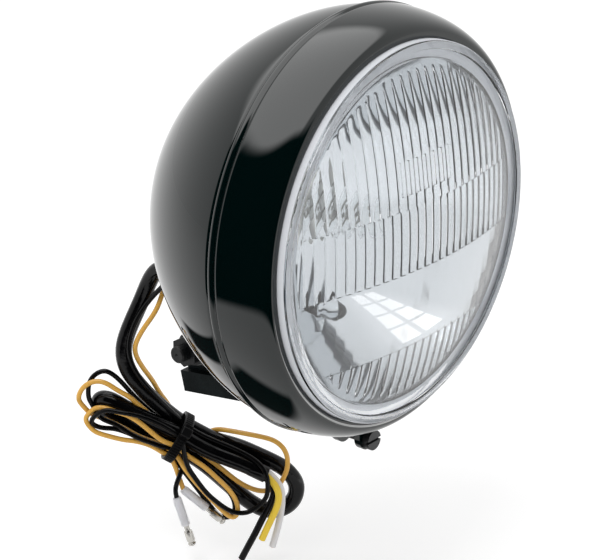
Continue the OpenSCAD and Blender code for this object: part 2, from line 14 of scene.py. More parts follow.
import bpy
import bmesh
from mathutils import Vector
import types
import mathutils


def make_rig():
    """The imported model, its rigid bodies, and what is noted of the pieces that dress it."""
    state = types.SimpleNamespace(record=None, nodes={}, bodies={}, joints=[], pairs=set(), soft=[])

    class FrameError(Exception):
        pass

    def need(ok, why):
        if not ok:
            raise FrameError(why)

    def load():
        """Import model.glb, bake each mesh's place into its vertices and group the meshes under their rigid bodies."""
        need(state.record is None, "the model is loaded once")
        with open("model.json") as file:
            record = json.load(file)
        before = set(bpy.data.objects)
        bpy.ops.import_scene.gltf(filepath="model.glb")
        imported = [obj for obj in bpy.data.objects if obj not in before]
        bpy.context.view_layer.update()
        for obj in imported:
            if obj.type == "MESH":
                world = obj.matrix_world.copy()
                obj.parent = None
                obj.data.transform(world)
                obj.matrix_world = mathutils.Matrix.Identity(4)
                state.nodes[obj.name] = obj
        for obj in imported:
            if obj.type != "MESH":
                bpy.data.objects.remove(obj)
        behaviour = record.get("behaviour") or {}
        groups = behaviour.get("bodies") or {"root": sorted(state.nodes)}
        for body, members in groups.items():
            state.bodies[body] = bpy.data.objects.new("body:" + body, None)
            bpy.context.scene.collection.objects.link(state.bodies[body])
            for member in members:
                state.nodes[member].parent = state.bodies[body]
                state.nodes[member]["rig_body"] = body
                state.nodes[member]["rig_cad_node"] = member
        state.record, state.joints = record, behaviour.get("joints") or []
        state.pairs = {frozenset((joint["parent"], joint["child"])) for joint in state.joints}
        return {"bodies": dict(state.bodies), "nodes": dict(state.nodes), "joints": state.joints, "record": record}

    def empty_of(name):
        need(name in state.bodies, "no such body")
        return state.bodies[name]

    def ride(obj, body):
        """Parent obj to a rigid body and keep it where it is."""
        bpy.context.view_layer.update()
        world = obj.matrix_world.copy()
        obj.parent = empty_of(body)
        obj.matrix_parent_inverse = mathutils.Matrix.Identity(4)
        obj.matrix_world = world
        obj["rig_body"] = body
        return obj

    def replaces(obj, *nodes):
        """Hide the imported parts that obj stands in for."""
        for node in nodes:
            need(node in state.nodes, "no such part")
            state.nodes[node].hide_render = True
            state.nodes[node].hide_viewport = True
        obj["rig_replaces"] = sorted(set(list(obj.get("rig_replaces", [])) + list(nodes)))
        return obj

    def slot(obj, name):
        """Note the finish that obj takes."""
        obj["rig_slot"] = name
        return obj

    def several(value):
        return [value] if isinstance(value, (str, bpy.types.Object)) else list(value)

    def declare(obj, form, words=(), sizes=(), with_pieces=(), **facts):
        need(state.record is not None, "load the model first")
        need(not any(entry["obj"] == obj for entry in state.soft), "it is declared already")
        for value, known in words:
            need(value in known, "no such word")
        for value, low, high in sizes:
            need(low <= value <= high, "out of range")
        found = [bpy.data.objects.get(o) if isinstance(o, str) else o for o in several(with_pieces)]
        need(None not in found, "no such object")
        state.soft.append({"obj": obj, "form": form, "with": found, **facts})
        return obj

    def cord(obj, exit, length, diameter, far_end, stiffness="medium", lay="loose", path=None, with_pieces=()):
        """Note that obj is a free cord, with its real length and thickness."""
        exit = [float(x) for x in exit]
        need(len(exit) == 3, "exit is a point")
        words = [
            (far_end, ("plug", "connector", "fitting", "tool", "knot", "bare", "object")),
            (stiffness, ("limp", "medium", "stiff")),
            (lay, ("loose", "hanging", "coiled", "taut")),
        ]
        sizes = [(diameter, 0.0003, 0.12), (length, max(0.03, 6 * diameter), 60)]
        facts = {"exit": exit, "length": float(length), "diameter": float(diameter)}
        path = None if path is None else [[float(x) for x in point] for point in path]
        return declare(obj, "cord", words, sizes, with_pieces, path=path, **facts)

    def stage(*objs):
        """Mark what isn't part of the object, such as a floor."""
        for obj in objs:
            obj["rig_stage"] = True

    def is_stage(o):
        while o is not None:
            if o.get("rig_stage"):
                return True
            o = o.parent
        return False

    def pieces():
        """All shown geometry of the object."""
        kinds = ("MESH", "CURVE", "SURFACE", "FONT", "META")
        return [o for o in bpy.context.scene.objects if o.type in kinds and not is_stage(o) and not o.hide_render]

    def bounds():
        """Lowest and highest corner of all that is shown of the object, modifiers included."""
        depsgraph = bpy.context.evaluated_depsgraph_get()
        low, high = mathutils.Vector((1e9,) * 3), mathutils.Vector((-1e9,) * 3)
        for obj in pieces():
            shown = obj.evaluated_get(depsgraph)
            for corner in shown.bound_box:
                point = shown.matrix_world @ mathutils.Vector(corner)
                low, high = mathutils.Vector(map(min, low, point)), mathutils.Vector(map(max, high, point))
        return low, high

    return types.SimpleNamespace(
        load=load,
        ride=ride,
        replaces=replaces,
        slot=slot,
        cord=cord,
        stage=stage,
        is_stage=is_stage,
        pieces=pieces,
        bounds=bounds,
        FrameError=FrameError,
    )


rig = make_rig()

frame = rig.load()
frame_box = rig.bounds()
nodes = frame["nodes"]
MM = 0.001
print("pieces in the frame:", len(nodes))

# %% [markdown]
# The lamp was drawn about the middle of its lens, with its axis along Y. The tilt joint tells where that
# middle is: the lens plane lies 115 mm in front of the pivot, and the lamp axis 80 mm above it. All lengths
# on the lamp are counted from there, as a radius and a distance behind the lens plane.

# %% Where the lamp's own zero lies
pivot = Vector(frame["joints"][0]["pos_m"])
LAMP = pivot + Vector((0, -115, 80)) * MM


def on_lamp(x, s, z):
    """A point of the lamp in the frame, from millimetres: across, behind the lens plane, above the axis."""
    return LAMP + Vector((x, s, z)) * MM


print("lens plane at", [round(v, 4) for v in LAMP])

# %% [markdown]
# The photograph looks at the lamp from its right-hand front and from above. A long lens keeps the circles
# of ring and glass nearly true ellipses. The direction is given by two angles, and the camera stands far
# enough away for the whole lamp and its wires.

# %% Camera
def add_object(name, data):
    """A new object in the scene."""
    thing = bpy.data.objects.new(name, data)
    bpy.context.scene.collection.objects.link(thing)
    return thing


CAMERA_AZIMUTH = math.radians(-50.8348)
CAMERA_ELEVATION = math.radians(21.2329)
CAMERA_DISTANCE = 1.0621
CAMERA_AIM = on_lamp(-34.5, 31.1, -18.3)

camera_back = Vector((math.sin(CAMERA_AZIMUTH) * math.cos(CAMERA_ELEVATION),
                      -math.cos(CAMERA_AZIMUTH) * math.cos(CAMERA_ELEVATION),
                      math.sin(CAMERA_ELEVATION)))
camera_data = bpy.data.cameras.new("camera")
camera_data.lens = 150
camera_data.sensor_width = 36
camera = add_object("camera", camera_data)
camera.location = CAMERA_AIM + camera_back * CAMERA_DISTANCE
camera.rotation_mode = "QUATERNION"
camera.rotation_quaternion = (-camera_back).to_track_quat("-Z", "Y")
bpy.context.scene.camera = camera
print("camera at", [round(v, 3) for v in camera.location])

# %% [markdown]
# The wires hang from the grommet at the back in a flat bundle, in an upright plane that faces the camera.
# So it is natural to write their routes in that plane: how far along it, how high, and how far out of it.
# A wire passes smoothly through its points. A Catmull-Rom curve does just that, and needs no handles.

# %% Routes in the harness plane
PLANE_TURN = math.radians(-51)
PLANE_S = 150


def in_plane(along, height, out):
    """A point of the harness plane in the frame, from millimetres."""
    x = along * math.cos(PLANE_TURN) + out * math.sin(PLANE_TURN)
    s = PLANE_S + along * math.sin(PLANE_TURN) - out * math.cos(PLANE_TURN)
    return on_lamp(x, s, height)


def between(a, b, c, d, t):
    """The Catmull-Rom curve between b and c, a share t of the way."""
    return 0.5 * (2 * b + (c - a) * t + (2 * a - 5 * b + 4 * c - d) * t * t
                  + (3 * b - a - 3 * c + d) * t * t * t)


ROUTE_STEPS = 6
SMOOTHINGS = 10


def smooth_route(points):
    """A curve through given points, with its small kinks averaged out."""
    route = [in_plane(*p) for p in points]
    ends = [route[0] * 2 - route[1]] + route + [route[-1] * 2 - route[-2]]
    curve = []
    for a, b, c, d in zip(ends, ends[1:], ends[2:], ends[3:]):
        curve += [between(a, b, c, d, i / ROUTE_STEPS) for i in range(ROUTE_STEPS)]
    curve.append(route[-1])
    for _ in range(SMOOTHINGS):
        middle = [(a + 2 * b + c) / 4 for a, b, c in zip(curve, curve[1:], curve[2:])]
        curve = [curve[0]] + middle + [curve[-1]]
    return curve


def route_length(curve):
    return sum((b - a).length for a, b in zip(curve, curve[1:]))


# %% [markdown]
# A wire is a curve with a round bevel, and it stays a curve. So its whole length lies in one spline, where
# it can be measured, and its cross-section is the same all the way.

# %% A wire as a round curve
def make_wire(name, points, diameter, material):
    """A smooth wire through the points, and the line that it follows."""
    line = smooth_route(points)
    data = bpy.data.curves.new(name, "CURVE")
    data.dimensions = "3D"
    data.bevel_depth = diameter / 2
    data.bevel_resolution = 5
    data.use_fill_caps = True
    data.materials.append(material)
    spline = data.splines.new("POLY")
    spline.points.add(len(line) - 1)
    for point, place in zip(spline.points, line):
        point.co = (*place, 1)
    wire = add_object(name, data)
    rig.ride(wire, "lamp")
    print(name, "is", round(route_length(line), 3), "m long")
    return wire, line


# %% [markdown]
# Every finish is made of shader nodes. One helper adds a node and fills its sockets: a plain value is set,
# and the output of another node is linked. A second helper makes one number out of two.

# %% Node helpers
def add_node(tree, kind, inputs, group=None):
    """A shader node. Each input gets a value, or a link where another node's output is given."""
    node = tree.nodes.new("ShaderNode" + kind)
    if group:
        node.node_tree = group
    for socket, value in inputs.items():
        if isinstance(value, bpy.types.NodeSocket):
            tree.links.new(value, node.inputs[socket])
        else:
            node.inputs[socket].default_value = value
    return node


def combine(tree, operation, one, other):
    """One number out of two, such as their product or the larger one."""
    node = add_node(tree, "Math", {0: one, 1: other})
    node.operation = operation
    return node.outputs["Value"]


def new_group(name, inputs, outputs):
    """An empty shader group with named sockets, and its two end nodes."""
    group = bpy.data.node_groups.new(name, "ShaderNodeTree")
    for sockets, way in ((inputs, "INPUT"), (outputs, "OUTPUT")):
        for socket, kind in sockets.items():
            group.interface.new_socket(socket, in_out=way, socket_type="NodeSocket" + kind)
    return group, group.nodes.new("NodeGroupInput"), group.nodes.new("NodeGroupOutput")


# %% [markdown]
# Two shader groups serve nearly all finishes. The first is a fine bump of two sizes, which makes paint
# peel, cast grain and the slight waviness of plastic. Both sizes of noise run in the object's own
# coordinates, so they stay on the piece when it moves.

# %% Shader group: uneven surface
def uneven_surface():
    """Height of a coarse wave and a fine grain."""
    group, start, end = new_group(
        "uneven surface", {"Coarse scale": "Float", "Fine scale": "Float", "Fine share": "Float"},
        {"Height": "Float"})
    place = add_node(group, "TexCoord", {})
    coarse, fine = (add_node(group, "TexNoise", {"Vector": place.outputs["Object"],
                                                 "Scale": start.outputs[scale]})
                    for scale in ("Coarse scale", "Fine scale"))
    mix = add_node(group, "Mix", {"Factor": start.outputs["Fine share"], "A": coarse.outputs["Fac"],
                                  "B": fine.outputs["Fac"]})
    group.links.new(mix.outputs["Result"], end.inputs["Height"])
    return group


UNEVEN = uneven_surface()

# %% [markdown]
# The second group moves a colour and a roughness a little from place to place, because nothing that has
# been handled is one even colour. Soft patches of noise decide where.

# %% Shader group: handled colour
PATCH_FROM = 0.4
PATCH_TO = 0.7


def handled_colour():
    """A colour and a roughness that drift towards a second one in patches."""
    group, start, end = new_group(
        "handled colour",
        {"Colour": "Color", "Worn colour": "Color", "Roughness": "Float", "Worn roughness": "Float",
         "Scale": "Float", "Amount": "Float"},
        {"Colour": "Color", "Roughness": "Float"})
    place = add_node(group, "TexCoord", {})
    noise = add_node(group, "TexNoise", {"Vector": place.outputs["Object"], "Scale": start.outputs["Scale"],
                                         "Detail": 5})
    patch = add_node(group, "MapRange", {"Value": noise.outputs["Fac"], "From Min": PATCH_FROM,
                                         "From Max": PATCH_TO})
    share = combine(group, "MULTIPLY", patch.outputs["Result"], start.outputs["Amount"])
    colour = add_node(group, "Mix", {})
    colour.data_type = "RGBA"
    rough = add_node(group, "Mix", {})
    # A mix of numbers has its sockets first in the node's list, and a mix of colours further on
    for mix, what, first, result in ((colour, "Colour", 6, 2), (rough, "Roughness", 2, 0)):
        group.links.new(share, mix.inputs[0])
        group.links.new(start.outputs[what], mix.inputs[first])
        group.links.new(start.outputs["Worn " + what.lower()], mix.inputs[first + 1])
        group.links.new(mix.outputs[result], end.inputs[what])
    return group


HANDLED = handled_colour()

# %% [markdown]
# Every finish is a Principled material. The numbers that are the same all over a surface are set on the
# shader itself. What changes over the surface comes from the two groups, each with the finish's own values.

# %% A new finish
def new_finish(name, colour, roughness, metallic=0.0, worn=None, bumps=None, **sockets):
    """A Principled material.

    worn is the second colour and its roughness, then the scale and the amount of its patches.
    bumps are the coarse and the fine scale, the share of the fine one, and the height in millimetres."""
    material = bpy.data.materials.new(name)
    material.use_nodes = True
    tree = material.node_tree
    shader = tree.nodes["Principled BSDF"]
    sockets.update(Base_Color=(*colour, 1), Roughness=roughness, Metallic=metallic)
    for socket, value in sockets.items():
        shader.inputs[socket.replace("_", " ")].default_value = value
    if worn:
        drift = add_node(tree, "Group", {
            "Colour": (*colour, 1), "Worn colour": (*worn[0], 1), "Roughness": roughness,
            "Worn roughness": worn[1], "Scale": worn[2], "Amount": worn[3]}, HANDLED)
        tree.links.new(drift.outputs["Colour"], shader.inputs["Base Color"])
        tree.links.new(drift.outputs["Roughness"], shader.inputs["Roughness"])
    if bumps:
        grain = add_node(tree, "Group", {"Coarse scale": bumps[0], "Fine scale": bumps[1],
                                         "Fine share": bumps[2]}, UNEVEN)
        bump = add_node(tree, "Bump", {"Distance": bumps[3] * MM, "Height": grain.outputs["Height"]})
        tree.links.new(bump.outputs["Normal"], shader.inputs["Normal"])
    return material


# %% [markdown]
# The harness is soft PVC: a glossy black sleeve over the heavy leads, and thin wires with a plain coloured
# cover. PVC is smooth but never flat, so long highlights waver a little along it.

# %% Plastics of the harness
def wire_cover(name, colour, roughness=0.32, darker=0.7, gloss=0.5):
    """A soft moulded plastic, a little darker and duller where it has been handled."""
    return new_finish(name, colour, roughness, bumps=(160, 900, 0.3, 0.12), Specular_IOR_Level=gloss,
                      worn=([c * darker for c in colour], roughness + 0.15, 90, 0.6))


SLEEVE_PVC = new_finish("sleeve_pvc", (0.0012, 0.0012, 0.0015), 0.13, bumps=(110, 500, 0.2, 0.35),
                        worn=((0.003, 0.003, 0.0036), 0.24, 60, 0.8), Specular_IOR_Level=0.22)
ORANGE_PVC = wire_cover("orange_pvc", (0.74, 0.4, 0.065), darker=0.85)
BLACK_PVC = wire_cover("black_pvc", (0.0015, 0.0015, 0.0018), 0.22, gloss=0.17)
YELLOW_PVC = wire_cover("yellow_pvc", (0.9, 0.63, 0.045), darker=0.9)
WHITE_PVC = wire_cover("white_pvc", (0.82, 0.81, 0.82), darker=0.92)

# %% [markdown]
# The sleeve leaves the grommet, falls to the tie, and is folded twice in the hank: once in the open turn on
# the right, once in the tight fold on the left. Its mouth, with the heavy leads, points right again.

# %% Sleeve
SLEEVE_D = 8 * MM
SLEEVE_ROUTE = [
    (25, -40, 20), (18, -45, 13), (10, -49, 6), (3, -53, 0), (-1, -61, -3), (-5, -71, -3),
    (-10, -82, -2), (-13.5, -93, -1), (-12, -103, 0), (-6.5, -111, 0.5), (-1.2, -117.8, 0),
    (5.7, -125.6, -2.4), (13, -132.8, -4.2), (20, -136.9, -4.2), (29, -142.2, -4.2),
    (40, -145.3, -4.2), (49, -149.5, -4), (59.5, -154.8, -4),
    (65, -159.3, -4.2), (69, -166.5, -4.8), (67.5, -174.5, -5.5), (62, -180, -6), (54, -180.5, -5.5),
    (47, -176.5, -5), (40, -170.2, -4.5), (33, -163.2, -4), (26, -156.3, -3.8), (18, -150, -3.6),
    (8.8, -144.1, -3.4), (-1, -141.2, -4), (-9, -137.6, -5), (-17, -131.6, -6),
    (-21, -128.7, -5.9), (-24.6, -125.4, -5.2), (-25.9, -121.8, -3), (-24.7, -118.9, -0.4),
    (-21.4, -117.8, 1.9), (-16.9, -119.4, 3.2), (-9, -124.4, 3.6), (0.7, -129.5, 3.6),
    (9.4, -134, 3.5), (13.4, -136.2, 3.4), (21.5, -141.5, 3.4), (30, -146, 3.4), (43, -151.2, 3.5),
    (51.7, -155.6, 3.6)]
sleeve, sleeve_line = make_wire("harness_sleeve_full", SLEEVE_ROUTE, SLEEVE_D, SLEEVE_PVC)

# %% [markdown]
# Each pilot wire leaves through its own hole in the grommet, runs beside the sleeve and then goes to and
# fro through the tie. That makes two loops on the left, two on the right, and the short end with the
# terminal. The point lists follow the wire from the grommet to its end, one group for each stretch.

# %% Thin wires
WIRE_D = 2.4 * MM
ORANGE_ROUTE = [
    (28.8, -38.4, 15.8), (25, -40.5, 12.7), (18, -45, 5), (12, -50, -1), (8, -57, -2), (6, -64, 0),
    (3, -72, 3), (-2, -79, 4), (-6, -86, 3.5), (-8, -93.5, 2.5), (-3.8, -103, 0.5), (0, -110, -2.5),
    (3, -118, -5.5), (7, -125, -8), (9.5, -131.5, -8.6), (11.3, -139.8, -6.5),
    (18, -142.5, -8.6), (24, -141.5, -9.6), (29.5, -138.2, -8), (36, -136.9, -3.5), (45, -136.8, 0.5),
    (52, -137.4, 2.5), (58, -138.8, 3.5), (62.5, -142.4, 4.2), (64.4, -147.4, 4.4), (64.4, -152.8, 4),
    (63, -157.8, 2.8), (60.8, -162.6, 1.6), (57.5, -166, 0.6), (51, -168, -0.5), (42, -164.2, -1),
    (35, -158.2, -1), (28, -151.8, -0.6), (20, -145.4, -0.2), (11.5, -139.4, 0),
    (4, -132.5, 0.4), (-3, -124.8, 0.8), (-7, -120.4, 2.4), (-11, -115.4, 4.4), (-16, -111.8, 6),
    (-21, -107.8, 6.5), (-26, -106.6, 6.5), (-31, -108.8, 6), (-34, -113, 5), (-35, -117.4, 4),
    (-33, -121, 3), (-30, -125.3, 2), (-26, -127.7, 1), (-21, -130.3, 0.4), (-15, -133.3, 0.2),
    (-9, -137.3, 0.2), (-2, -140, 1.2), (4, -141.4, 2.8), (8.8, -143.9, 4.4),
    (12.5, -147.3, 6.2), (15, -151.8, 7.4), (20, -158.8, 7.6), (26, -166.2, 7.6), (32, -173.2, 7.4),
    (36, -177.3, 7.2), (38.7, -178, 7.2), (40.4, -175.4, 7.3), (40.2, -170.7, 7.5), (38, -165.5, 7.5),
    (34.5, -161, 7.6), (30, -156.4, 7.4), (25, -151.5, 7), (19, -147.2, 6.8), (15.5, -144.4, 7),
    (11.2, -139.9, 7.6), (5.5, -137.6, 7.8), (1, -133.8, 8.2), (-4, -128.8, 8.6), (-9, -124.7, 8.8),
    (-13, -122.8, 8.6), (-17, -121.9, 8), (-22, -120.6, 6.4), (-27, -121, 5.4), (-30, -124.1, 5),
    (-32, -127.1, 4.9), (-30, -131.1, 4.9), (-27, -134.1, 4.9), (-21, -136.2, 4.7), (-14, -138.3, 4.4),
    (-8, -139.2, 3.8), (-1, -141.6, 3.6), (4, -144.6, 4.4), (7.4, -146.3, 4.8),
    (9.5, -150, 4.4), (10.8, -153.5, 4), (11.8, -157.5, 3.5), (14, -164.8, 3)]
BLACK_ROUTE = [
    (21.4, -38.4, 24.9), (17.7, -40.5, 21.8), (15, -45, 17.5), (11.5, -51, 12.5), (7.5, -57, 7.5),
    (3, -63, 3.5), (-1.5, -69, 1.8), (-6, -76, 2.4), (-9.3, -84, 3.2), (-10.5, -92, 4.2),
    (-8.5, -100, 5.2), (-4, -107.5, 5.6), (1, -114, 5.2), (6.5, -121, 3.6), (11.5, -127, 2),
    (15.8, -132.1, 1.3), (24, -137.3, 2), (34, -141.6, 2.2), (44, -146.3, 3), (50, -149.6, 5),
    (53.2, -152.6, 7.5), (54.7, -156, 9), (55, -162.3, 9.8), (54, -166.5, 10), (51, -170.2, 10),
    (47.5, -172.9, 10), (44, -174.3, 10), (39.5, -174.2, 10), (35, -172.2, 10), (30, -168.1, 10),
    (25, -163.1, 10), (20, -155.5, 9.8), (17, -150.6, 9.6), (15.6, -145.6, 9.6), (14.9, -140.5, 9.3),
    (13.9, -135.3, 8.9), (9, -131, 9.2), (3, -127.1, 9.8), (-3, -124, 10.4), (-9, -121.9, 10.8),
    (-15, -120.9, 10.9), (-20, -120.2, 9.9), (-24, -121.6, 8.8), (-27, -124.2, 7.4),
    (-29, -127.5, 6.2), (-28, -129.9, 5.4), (-24, -132, 4.6), (-18, -132.6, 3.6), (-11, -136, 2.4),
    (-4, -139.6, 2), (3, -143.6, 2.2), (8, -145.3, 2.4),
    (10.5, -149.8, 1.4), (14, -156, 1), (20.5, -165.2, 1.2), (26, -173.4, 1.6), (30, -178.8, 1.8),
    (32.8, -180.5, 1.8), (36, -180.6, 2), (38.6, -177.5, 2.6), (38.8, -171.5, 3.4), (36, -165.7, 4),
    (31, -159.8, 4.2), (25, -154.4, 4), (18, -149.2, 3.4), (13.8, -145.6, 4.6),
    (10.2, -141.6, 6.3), (5, -141.4, 6), (-1, -138.9, 5.8), (-7, -136.8, 5.6), (-12, -133.8, 5.2),
    (-17, -130.2, 4.6), (-22, -128.6, 3.8), (-25.5, -126.6, 3), (-28.5, -121, 2.2),
    (-30.2, -117.8, 2), (-30.4, -114, 2), (-29.8, -109.3, 2), (-27, -105.2, 2), (-23, -103.4, 1.8),
    (-20, -104.4, 1.4), (-17, -107, 0.8), (-13.5, -111.5, -0.5), (-9.5, -117.5, -2), (-4, -124, -3),
    (3, -130.5, -2.8), (12.1, -138.4, -2.6), (13, -144.5, -1.5), (14.2, -149.5, 1.5),
    (14, -153, 4), (12.5, -156.5, 6.2), (10.8, -161, 7.2), (10.5, -164.5, 7), (11, -168, 6.5)]
orange_wire, orange_line = make_wire("pilot_wire_orange", ORANGE_ROUTE, WIRE_D, ORANGE_PVC)
black_wire, black_line = make_wire("pilot_wire_black", BLACK_ROUTE, WIRE_D, BLACK_PVC)

# %% [markdown]
# Three heavy leads come out of the sleeve's mouth and hang down. Their far ends are cut off square, with a
# little bare copper.

# %% Heavy leads
LEAD_D = 3.4 * MM
YELLOW_ROUTE = [
    (47.3, -153.1, 5.4), (52, -155.1, 5.5), (56.5, -158.2, 7.2), (59.5, -162, 8.6), (60.3, -167, 9),
    (59, -172.5, 9), (56.5, -178.5, 8.6), (54, -184.5, 8.2), (52, -189.5, 8)]
WHITE_ROUTE = [
    (47.8, -152.1, 2.5), (52.6, -154.1, 2.6), (57, -157.4, 4.2), (60.8, -162.3, 4.6), (61.8, -169, 4),
    (61.3, -176.5, 3.2), (59.8, -185, 3), (57, -195.8, 3)]
LEAD_BLACK_ROUTE = [
    (46.2, -155.1, 2.5), (50.9, -157.1, 2.7), (56.5, -160.6, 4.4), (58, -165.5, 5), (56.5, -170.5, 5.6),
    (54, -175.5, 6.4), (51.5, -180.5, 7), (48.5, -187, 7.5), (45, -194, 7.5), (42, -200.5, 7)]
yellow_lead, yellow_line = make_wire("heavy_lead_yellow", YELLOW_ROUTE, LEAD_D, YELLOW_PVC)
white_lead, white_line = make_wire("heavy_lead_white", WHITE_ROUTE, LEAD_D, WHITE_PVC)
black_lead, black_lead_line = make_wire("heavy_lead_black", LEAD_BLACK_ROUTE, LEAD_D, BLACK_PVC)

# %% [markdown]
# Most small metal and moulded pieces are turned or lofted shapes. A shape is a row of closed rings of
# points, with a band of quads between neighbours, which shades smoothly. Everything made here rides on the
# lamp's body, because only the mount block stays still when the lamp tilts.

# %% Mesh helpers
def new_piece(name, vertices, faces, material, smooth_angle=35):
    """A mesh object from points in the frame, smooth up to an angle in degrees."""
    mesh = bpy.data.meshes.new(name)
    mesh.from_pydata([tuple(v) for v in vertices], [], faces)
    mesh.materials.append(material)
    build = bmesh.new()
    build.from_mesh(mesh)
    bmesh.ops.remove_doubles(build, verts=build.verts, dist=1e-7)
    bmesh.ops.recalc_face_normals(build, faces=build.faces)
    limit = math.radians(smooth_angle)
    for edge in build.edges:
        if len(edge.link_faces) == 2:
            edge.smooth = edge.calc_face_angle(0) < limit
    for face in build.faces:
        face.smooth = True
    build.to_mesh(mesh)
    build.free()
    piece = add_object(name, mesh)
    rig.ride(piece, "lamp")
    return piece


def band(one, other):
    """Quads between two closed rings of vertex numbers."""
    following = [(k + 1) % len(one) for k in range(len(one))]
    return [(one[k], one[n], other[n], other[k]) for k, n in enumerate(following)]


def turn(profile, steps, centre=LAMP, axis=(0, 1, 0), closed=False):
    """Vertices and faces of a profile of (radius, distance along the axis) in millimetres, turned."""
    axis = Vector(axis).normalized()
    side = axis.orthogonal().normalized()
    other = axis.cross(side)
    vertices = []
    for radius, along in profile:
        for k in range(steps):
            a = 2 * math.pi * k / steps
            spoke = side * math.cos(a) + other * math.sin(a)
            vertices.append(centre + (spoke * radius + axis * along) * MM)
    rings = [range(j * steps, (j + 1) * steps) for j in range(len(profile))]
    faces = []
    for near, far in zip(rings, rings[1:] + rings[:1] if closed else rings[1:]):
        faces += band(near, far)
    return vertices, faces


def turned_piece(name, profile, material, steps, centre=LAMP, axis=(0, 1, 0), closed=False):
    return new_piece(name, *turn(profile, steps, centre, axis, closed), material)


def triangles(piece):
    return sum(len(face.vertices) - 2 for face in piece.data.polygons)


def bevel_edges(piece, width, segments=3):
    """A small bevel on the sharp edges, in millimetres."""
    bevel = piece.modifiers.new("edge", "BEVEL")
    bevel.width = width * MM
    bevel.segments = segments
    bevel.limit_method = "ANGLE"
    bevel.angle_limit = math.radians(40)


# %% [markdown]
# The finishes of the lamp itself. Gloss stove enamel is a black ground under a clear, hard gloss, so its
# look is nearly all reflection: a clear coat over a rougher base, with a very slight orange peel. The cast
# mount has the same black but a grain under it. Bright metal parts are zinc plated or tinned.

# %% Finishes of the lamp
def bare_metal(name, colour, roughness, scale=180):
    """A plated or tinned metal, a little darker and duller in patches."""
    return new_finish(name, colour, roughness, 1.0, bumps=(200, 1500, 0.4, 0.04),
                      worn=([c * 0.75 for c in colour], roughness + 0.15, scale, 0.7))


ENAMEL = new_finish("black_enamel", (0.0004, 0.0034, 0.0034), 0.4, bumps=(55, 900, 0.08, 0.05),
                    Specular_IOR_Level=0.0, Coat_Weight=1.0, Coat_Roughness=0.02, Coat_IOR=1.5)
CASTING = new_finish("black_casting", (0.0015, 0.0035, 0.004), 0.45, bumps=(300, 1400, 0.5, 0.3),
                     worn=((0.009, 0.014, 0.015), 0.55, 70, 0.7),
                     Specular_IOR_Level=0.05, Coat_Weight=0.05, Coat_Roughness=0.22)
BLACK_STEEL = new_finish("blacked_steel", (0.005, 0.006, 0.007), 0.38, 0.2, bumps=(250, 1400, 0.4, 0.1),
                         worn=((0.025, 0.025, 0.025), 0.5, 160, 0.6), Specular_IOR_Level=0.3)
RUBBER = new_finish("soft_rubber", (0.012, 0.012, 0.012), 0.55, bumps=(220, 1200, 0.5, 0.15),
                    worn=((0.03, 0.029, 0.028), 0.7, 60, 0.6))
LENS_GLASS = new_finish("pressed_glass", (0.955, 0.972, 0.985), 0.0, Transmission_Weight=1.0, IOR=1.5)
ENVELOPE = new_finish("bulb_envelope", (0.97, 0.98, 0.98), 0.02, Transmission_Weight=1.0, IOR=1.45)
MIRROR = new_finish("mirror_coat", (0.66, 0.68, 0.7), 0.08, 1.0, bumps=(30, 300, 0.1, 0.06))
CLEAR_PVC = new_finish("clear_pvc", (0.9, 0.9, 0.93), 0.3, bumps=(260, 900, 0.4, 0.2),
                       Transmission_Weight=0.45, IOR=1.4)
ZINC = bare_metal("zinc_plate", (0.62, 0.62, 0.6), 0.3)
TINNED = bare_metal("tinned_brass", (0.6, 0.585, 0.55), 0.22)
COPPER = bare_metal("copper_strands", (0.85, 0.42, 0.22), 0.4, 900)
TUNGSTEN = bare_metal("tungsten", (0.5, 0.48, 0.45), 0.4)
NYLON = wire_cover("tie_nylon", (0.002, 0.002, 0.0024), 0.36, gloss=0.15)
# Painted light: the seal's pale colour stands in for the light that the glass's edge scatters
PALE_SEAL_PAINTED_LIGHT = wire_cover("pale_seal_painted_light", (0.74, 0.76, 0.8), 0.6, 0.95, gloss=0.2)
PLUG_PLASTIC = wire_cover("plug_plastic", (0.72, 0.69, 0.6), 0.4)

# %% [markdown]
# Pieces whose constructed shape is already right keep it. They get their finish, and a small bevel that
# catches the light along their edges, as every cast or stamped edge does.

# %% Finish the pieces that stay
# Each piece with its finish, and the width of its bevel in millimetres
KEPT = {
    "retaining_ring": (ZINC, 0.15), "retaining_screws": (ZINC, 0.15),
    "top_catch": (ENAMEL, 0.2), "bulb_glass": (ENVELOPE, 0), "bulb_filaments": (TUNGSTEN, 0),
    "bulb_base": (ZINC, 0.2), "bulb_clip": (ZINC, 0), "dust_boot": (RUBBER, 0),
    "bulb_plug": (PLUG_PLASTIC, 0.6), "inner_leads": (BLACK_PVC, 0), "pilot_bulb": (ENVELOPE, 0),
    "pilot_holder": (RUBBER, 0.3), "pilot_leads": (ORANGE_PVC, 0), "ring_screw": (BLACK_STEEL, 0.3),
    "ring_nut": (BLACK_STEEL, 0.3), "mount_bracket": (ENAMEL, 0.5), "bracket_plate": (ZINC, 0.3),
    "bracket_screws": (BLACK_STEEL, 0.25), "mount_block": (CASTING, 0.8), "pivot_bolt": (BLACK_STEEL, 0.3),
    "pivot_nut": (BLACK_STEEL, 0.35), "pivot_washers": (BLACK_STEEL, 0.2), "cable_grommet": (RUBBER, 0.2)}

for name, (material, bevel) in KEPT.items():
    piece = nodes[name]
    piece.data.materials.clear()
    piece.data.materials.append(material)
    if bevel:
        bevel_edges(piece, bevel)
print("pieces kept from the construction:", len(KEPT))

# %% [markdown]
# Boring a hole in a turned shell is the one place where a boolean is the right tool. The cutter is a plain
# cylinder, and it is thrown away after the cut. The faces beside the hole lie under a rubber or a washer.

